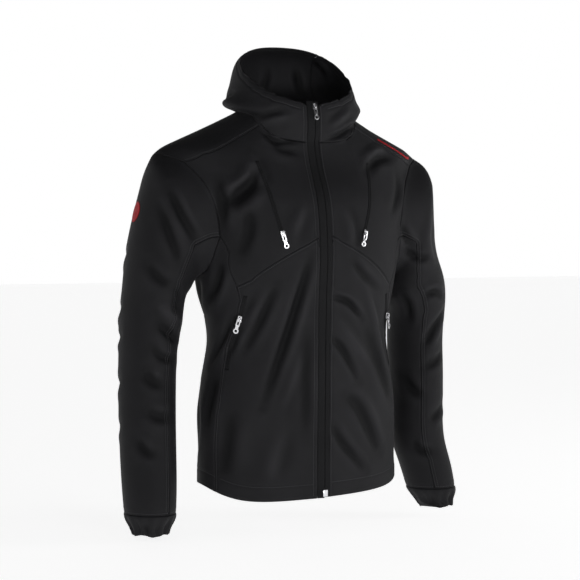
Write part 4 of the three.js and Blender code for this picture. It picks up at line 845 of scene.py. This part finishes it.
def sewn_on(name, under, rim):
    """A flat trim laid on the cloth of some pieces, with a low ridge just inside its edge."""
    bm = outer_face(name)
    join_triangles(bm)
    bmesh.ops.subdivide_edges(bm, edges=bm.edges, cuts=4, use_grid_fill=True)
    bmesh.ops.inset_region(bm, faces=bm.faces, thickness=rim, depth=0, use_boundary=True,
                           use_even_offset=True)
    edge = {v for v in bm.verts if v.is_boundary}
    raised = {u for v in edge for e in v.link_edges for u in e.verts} - edge
    skin = surface(under)
    for v in bm.verts:
        at, up, _, _ = skin.find_nearest(v.co)
        v.co = at + up * (TRIM_LIFT + (TRIM_RIDGE if v in raised else 0))
    bm.normal_update()
    up = skin.find_nearest(next(iter(bm.verts)).co)[1]
    if sum(f.normal.dot(up) for f in bm.faces) < 0:
        bmesh.ops.reverse_faces(bm, faces=bm.faces)
    mesh = finished(bm, name + "_cloth")
    obj = piece(name + "_cloth", mesh, RED, "red_trim", (name,), thick=TRIM_WALL)


sewn_on("shoulder_strip", ("yoke", "chest_left"), 0.9 * MM)
sewn_on("arm_patch", ("sleeve_outer_right", "sleeve_under_right"), 1.5 * MM)


# ------------------------------------------------------------------ stitches
STITCH_STEP = 3.4 * MM
STITCH_SIZE = (1.35 * MM, 0.42 * MM, 0.4 * MM)   # half its length, width and height
STITCH_LIFT = 0.12


def stitches(name, lines):
    """Rows of thread, one short rounded stitch after another."""
    bm = bmesh.new()
    for part, line in lines:
        line = even(line, STITCH_STEP)
        for k in range(1, len(line) - 1):
            at, up, _, _ = skins[part].find_nearest(line[k])
            along = (line[k + 1] - line[k - 1]).normalized()
            across = up.cross(along).normalized()
            along = across.cross(up)
            add_bead(bm, at + up * STITCH_LIFT * MM, (along, across, up), STITCH_SIZE)
    piece(name, finished(bm, name), THREAD, "softshell")


for name, parts in (("body", (BODY,)), ("hood", (HOOD,)), ("sleeves", (ARM_LEFT, ARM_RIGHT))):
    stitches("thread_" + name, [row for row in stitch_lines if row[0] in parts])


# ------------------------------------------------------------------ hardware
# bends that are smoothed away, that are rounded, and that stay sharp to the light
FLAT_BEND, SHARP_BEND, CREASED_BEND = 0.02, 0.6, 0.75
ROUNDING = 0.22 * MM


def smoothed_metal(name, body):
    """The CAD shape with its sharp edges rounded."""
    bm = bmesh.new()
    bm.from_mesh(nodes[name].data)
    bmesh.ops.remove_doubles(bm, verts=bm.verts, dist=SAME_POINT)
    bmesh.ops.dissolve_limit(bm, angle_limit=FLAT_BEND, verts=bm.verts, edges=bm.edges)
    sharp = [e for e in bm.edges if e.is_manifold and e.calc_face_angle(0) > SHARP_BEND]
    bmesh.ops.bevel(bm, geom=sharp, offset=ROUNDING, segments=2, profile=0.5, affect="EDGES", material=-1,
                    clamp_overlap=True)
    mesh = finished(bm, name + "_metal")
    piece(name + "_metal", mesh, METAL, "silver_metal", (name,), body=body)
    mesh.set_sharp_from_angle(angle=CREASED_BEND)


for zipper in ("chest_left", "chest_right", "hand_left", "hand_right", "main"):
    smoothed_metal("slider_" + zipper, "jacket")
    smoothed_metal("pull_" + zipper, f"pull_{zipper}_body")
smoothed_metal("zip_box", "jacket")


# ------------------------------------------------------------------ floor and light
FLOOR_HEIGHT = -0.768


def stage_floor():
    """A wide pale floor just under the cuffs."""
    bm = bmesh.new()
    bmesh.ops.create_grid(bm, x_segments=8, y_segments=8, size=14,
                          matrix=Matrix.Translation((0, 0, FLOOR_HEIGHT)))
    mesh = finished(bm, "floor")
    floor = bpy.data.objects.new("floor", mesh)
    scene.collection.objects.link(floor)
    material, tree, surface_node = new_material("pale paper")
    colour = blend(tree, noise(tree, Scale=3.0, Detail=2.0), (0.9, 0.9, 0.9, 1), (0.93, 0.93, 0.93, 1))
    tree.links.new(colour, surface_node.inputs["Base Color"])
    surface_node.inputs["Roughness"].default_value = 0.9
    surface_node.inputs["Emission Color"].default_value = (1, 1, 1, 1)
    surface_node.inputs["Emission Strength"].default_value = 0.8
    mesh.materials.append(material)


def soft_light(name, place_at, look_at, size, power):
    """A rectangular lamp; metres and watts."""
    light = bpy.data.objects.new(name, bpy.data.lights.new(name, "AREA"))
    scene.collection.objects.link(light)
    light.data.shape = "RECTANGLE"
    light.data.size, light.data.size_y = size
    light.data.energy = power
    light.location = place_at
    light.rotation_euler = (Vector(look_at) - Vector(place_at)).to_track_quat("-Z", "Y").to_euler()


stage_floor()
soft_light("front light", (-0.1, -3.3, -0.7), (0, 0, -0.35), (0.8, 0.6), 46)
soft_light("side light", (2.7, -1.2, -0.2), (0, 0, -0.35), (0.7, 1.2), 16)


def studio_world():
    """Bright walls all round, and a dark ceiling."""
    world = bpy.data.worlds.new("studio")
    scene.world = world
    world.use_nodes = True
    tree = world.node_tree
    at = node(tree, "ShaderNodeTexCoord").outputs["Generated"]
    high = node(tree, "ShaderNodeSeparateXYZ", {"Vector": at}).outputs["Z"]
    bright = node(tree, "ShaderNodeMapRange", {"Value": high, "From Min": 0.15, "From Max": 0.42,
                                               "To Min": 1.0, "To Max": 0.05}).outputs[0]
    background = tree.nodes["Background"]
    background.inputs["Color"].default_value = (1, 1, 1, 1)
    tree.links.new(bright, background.inputs["Strength"])


studio_world()
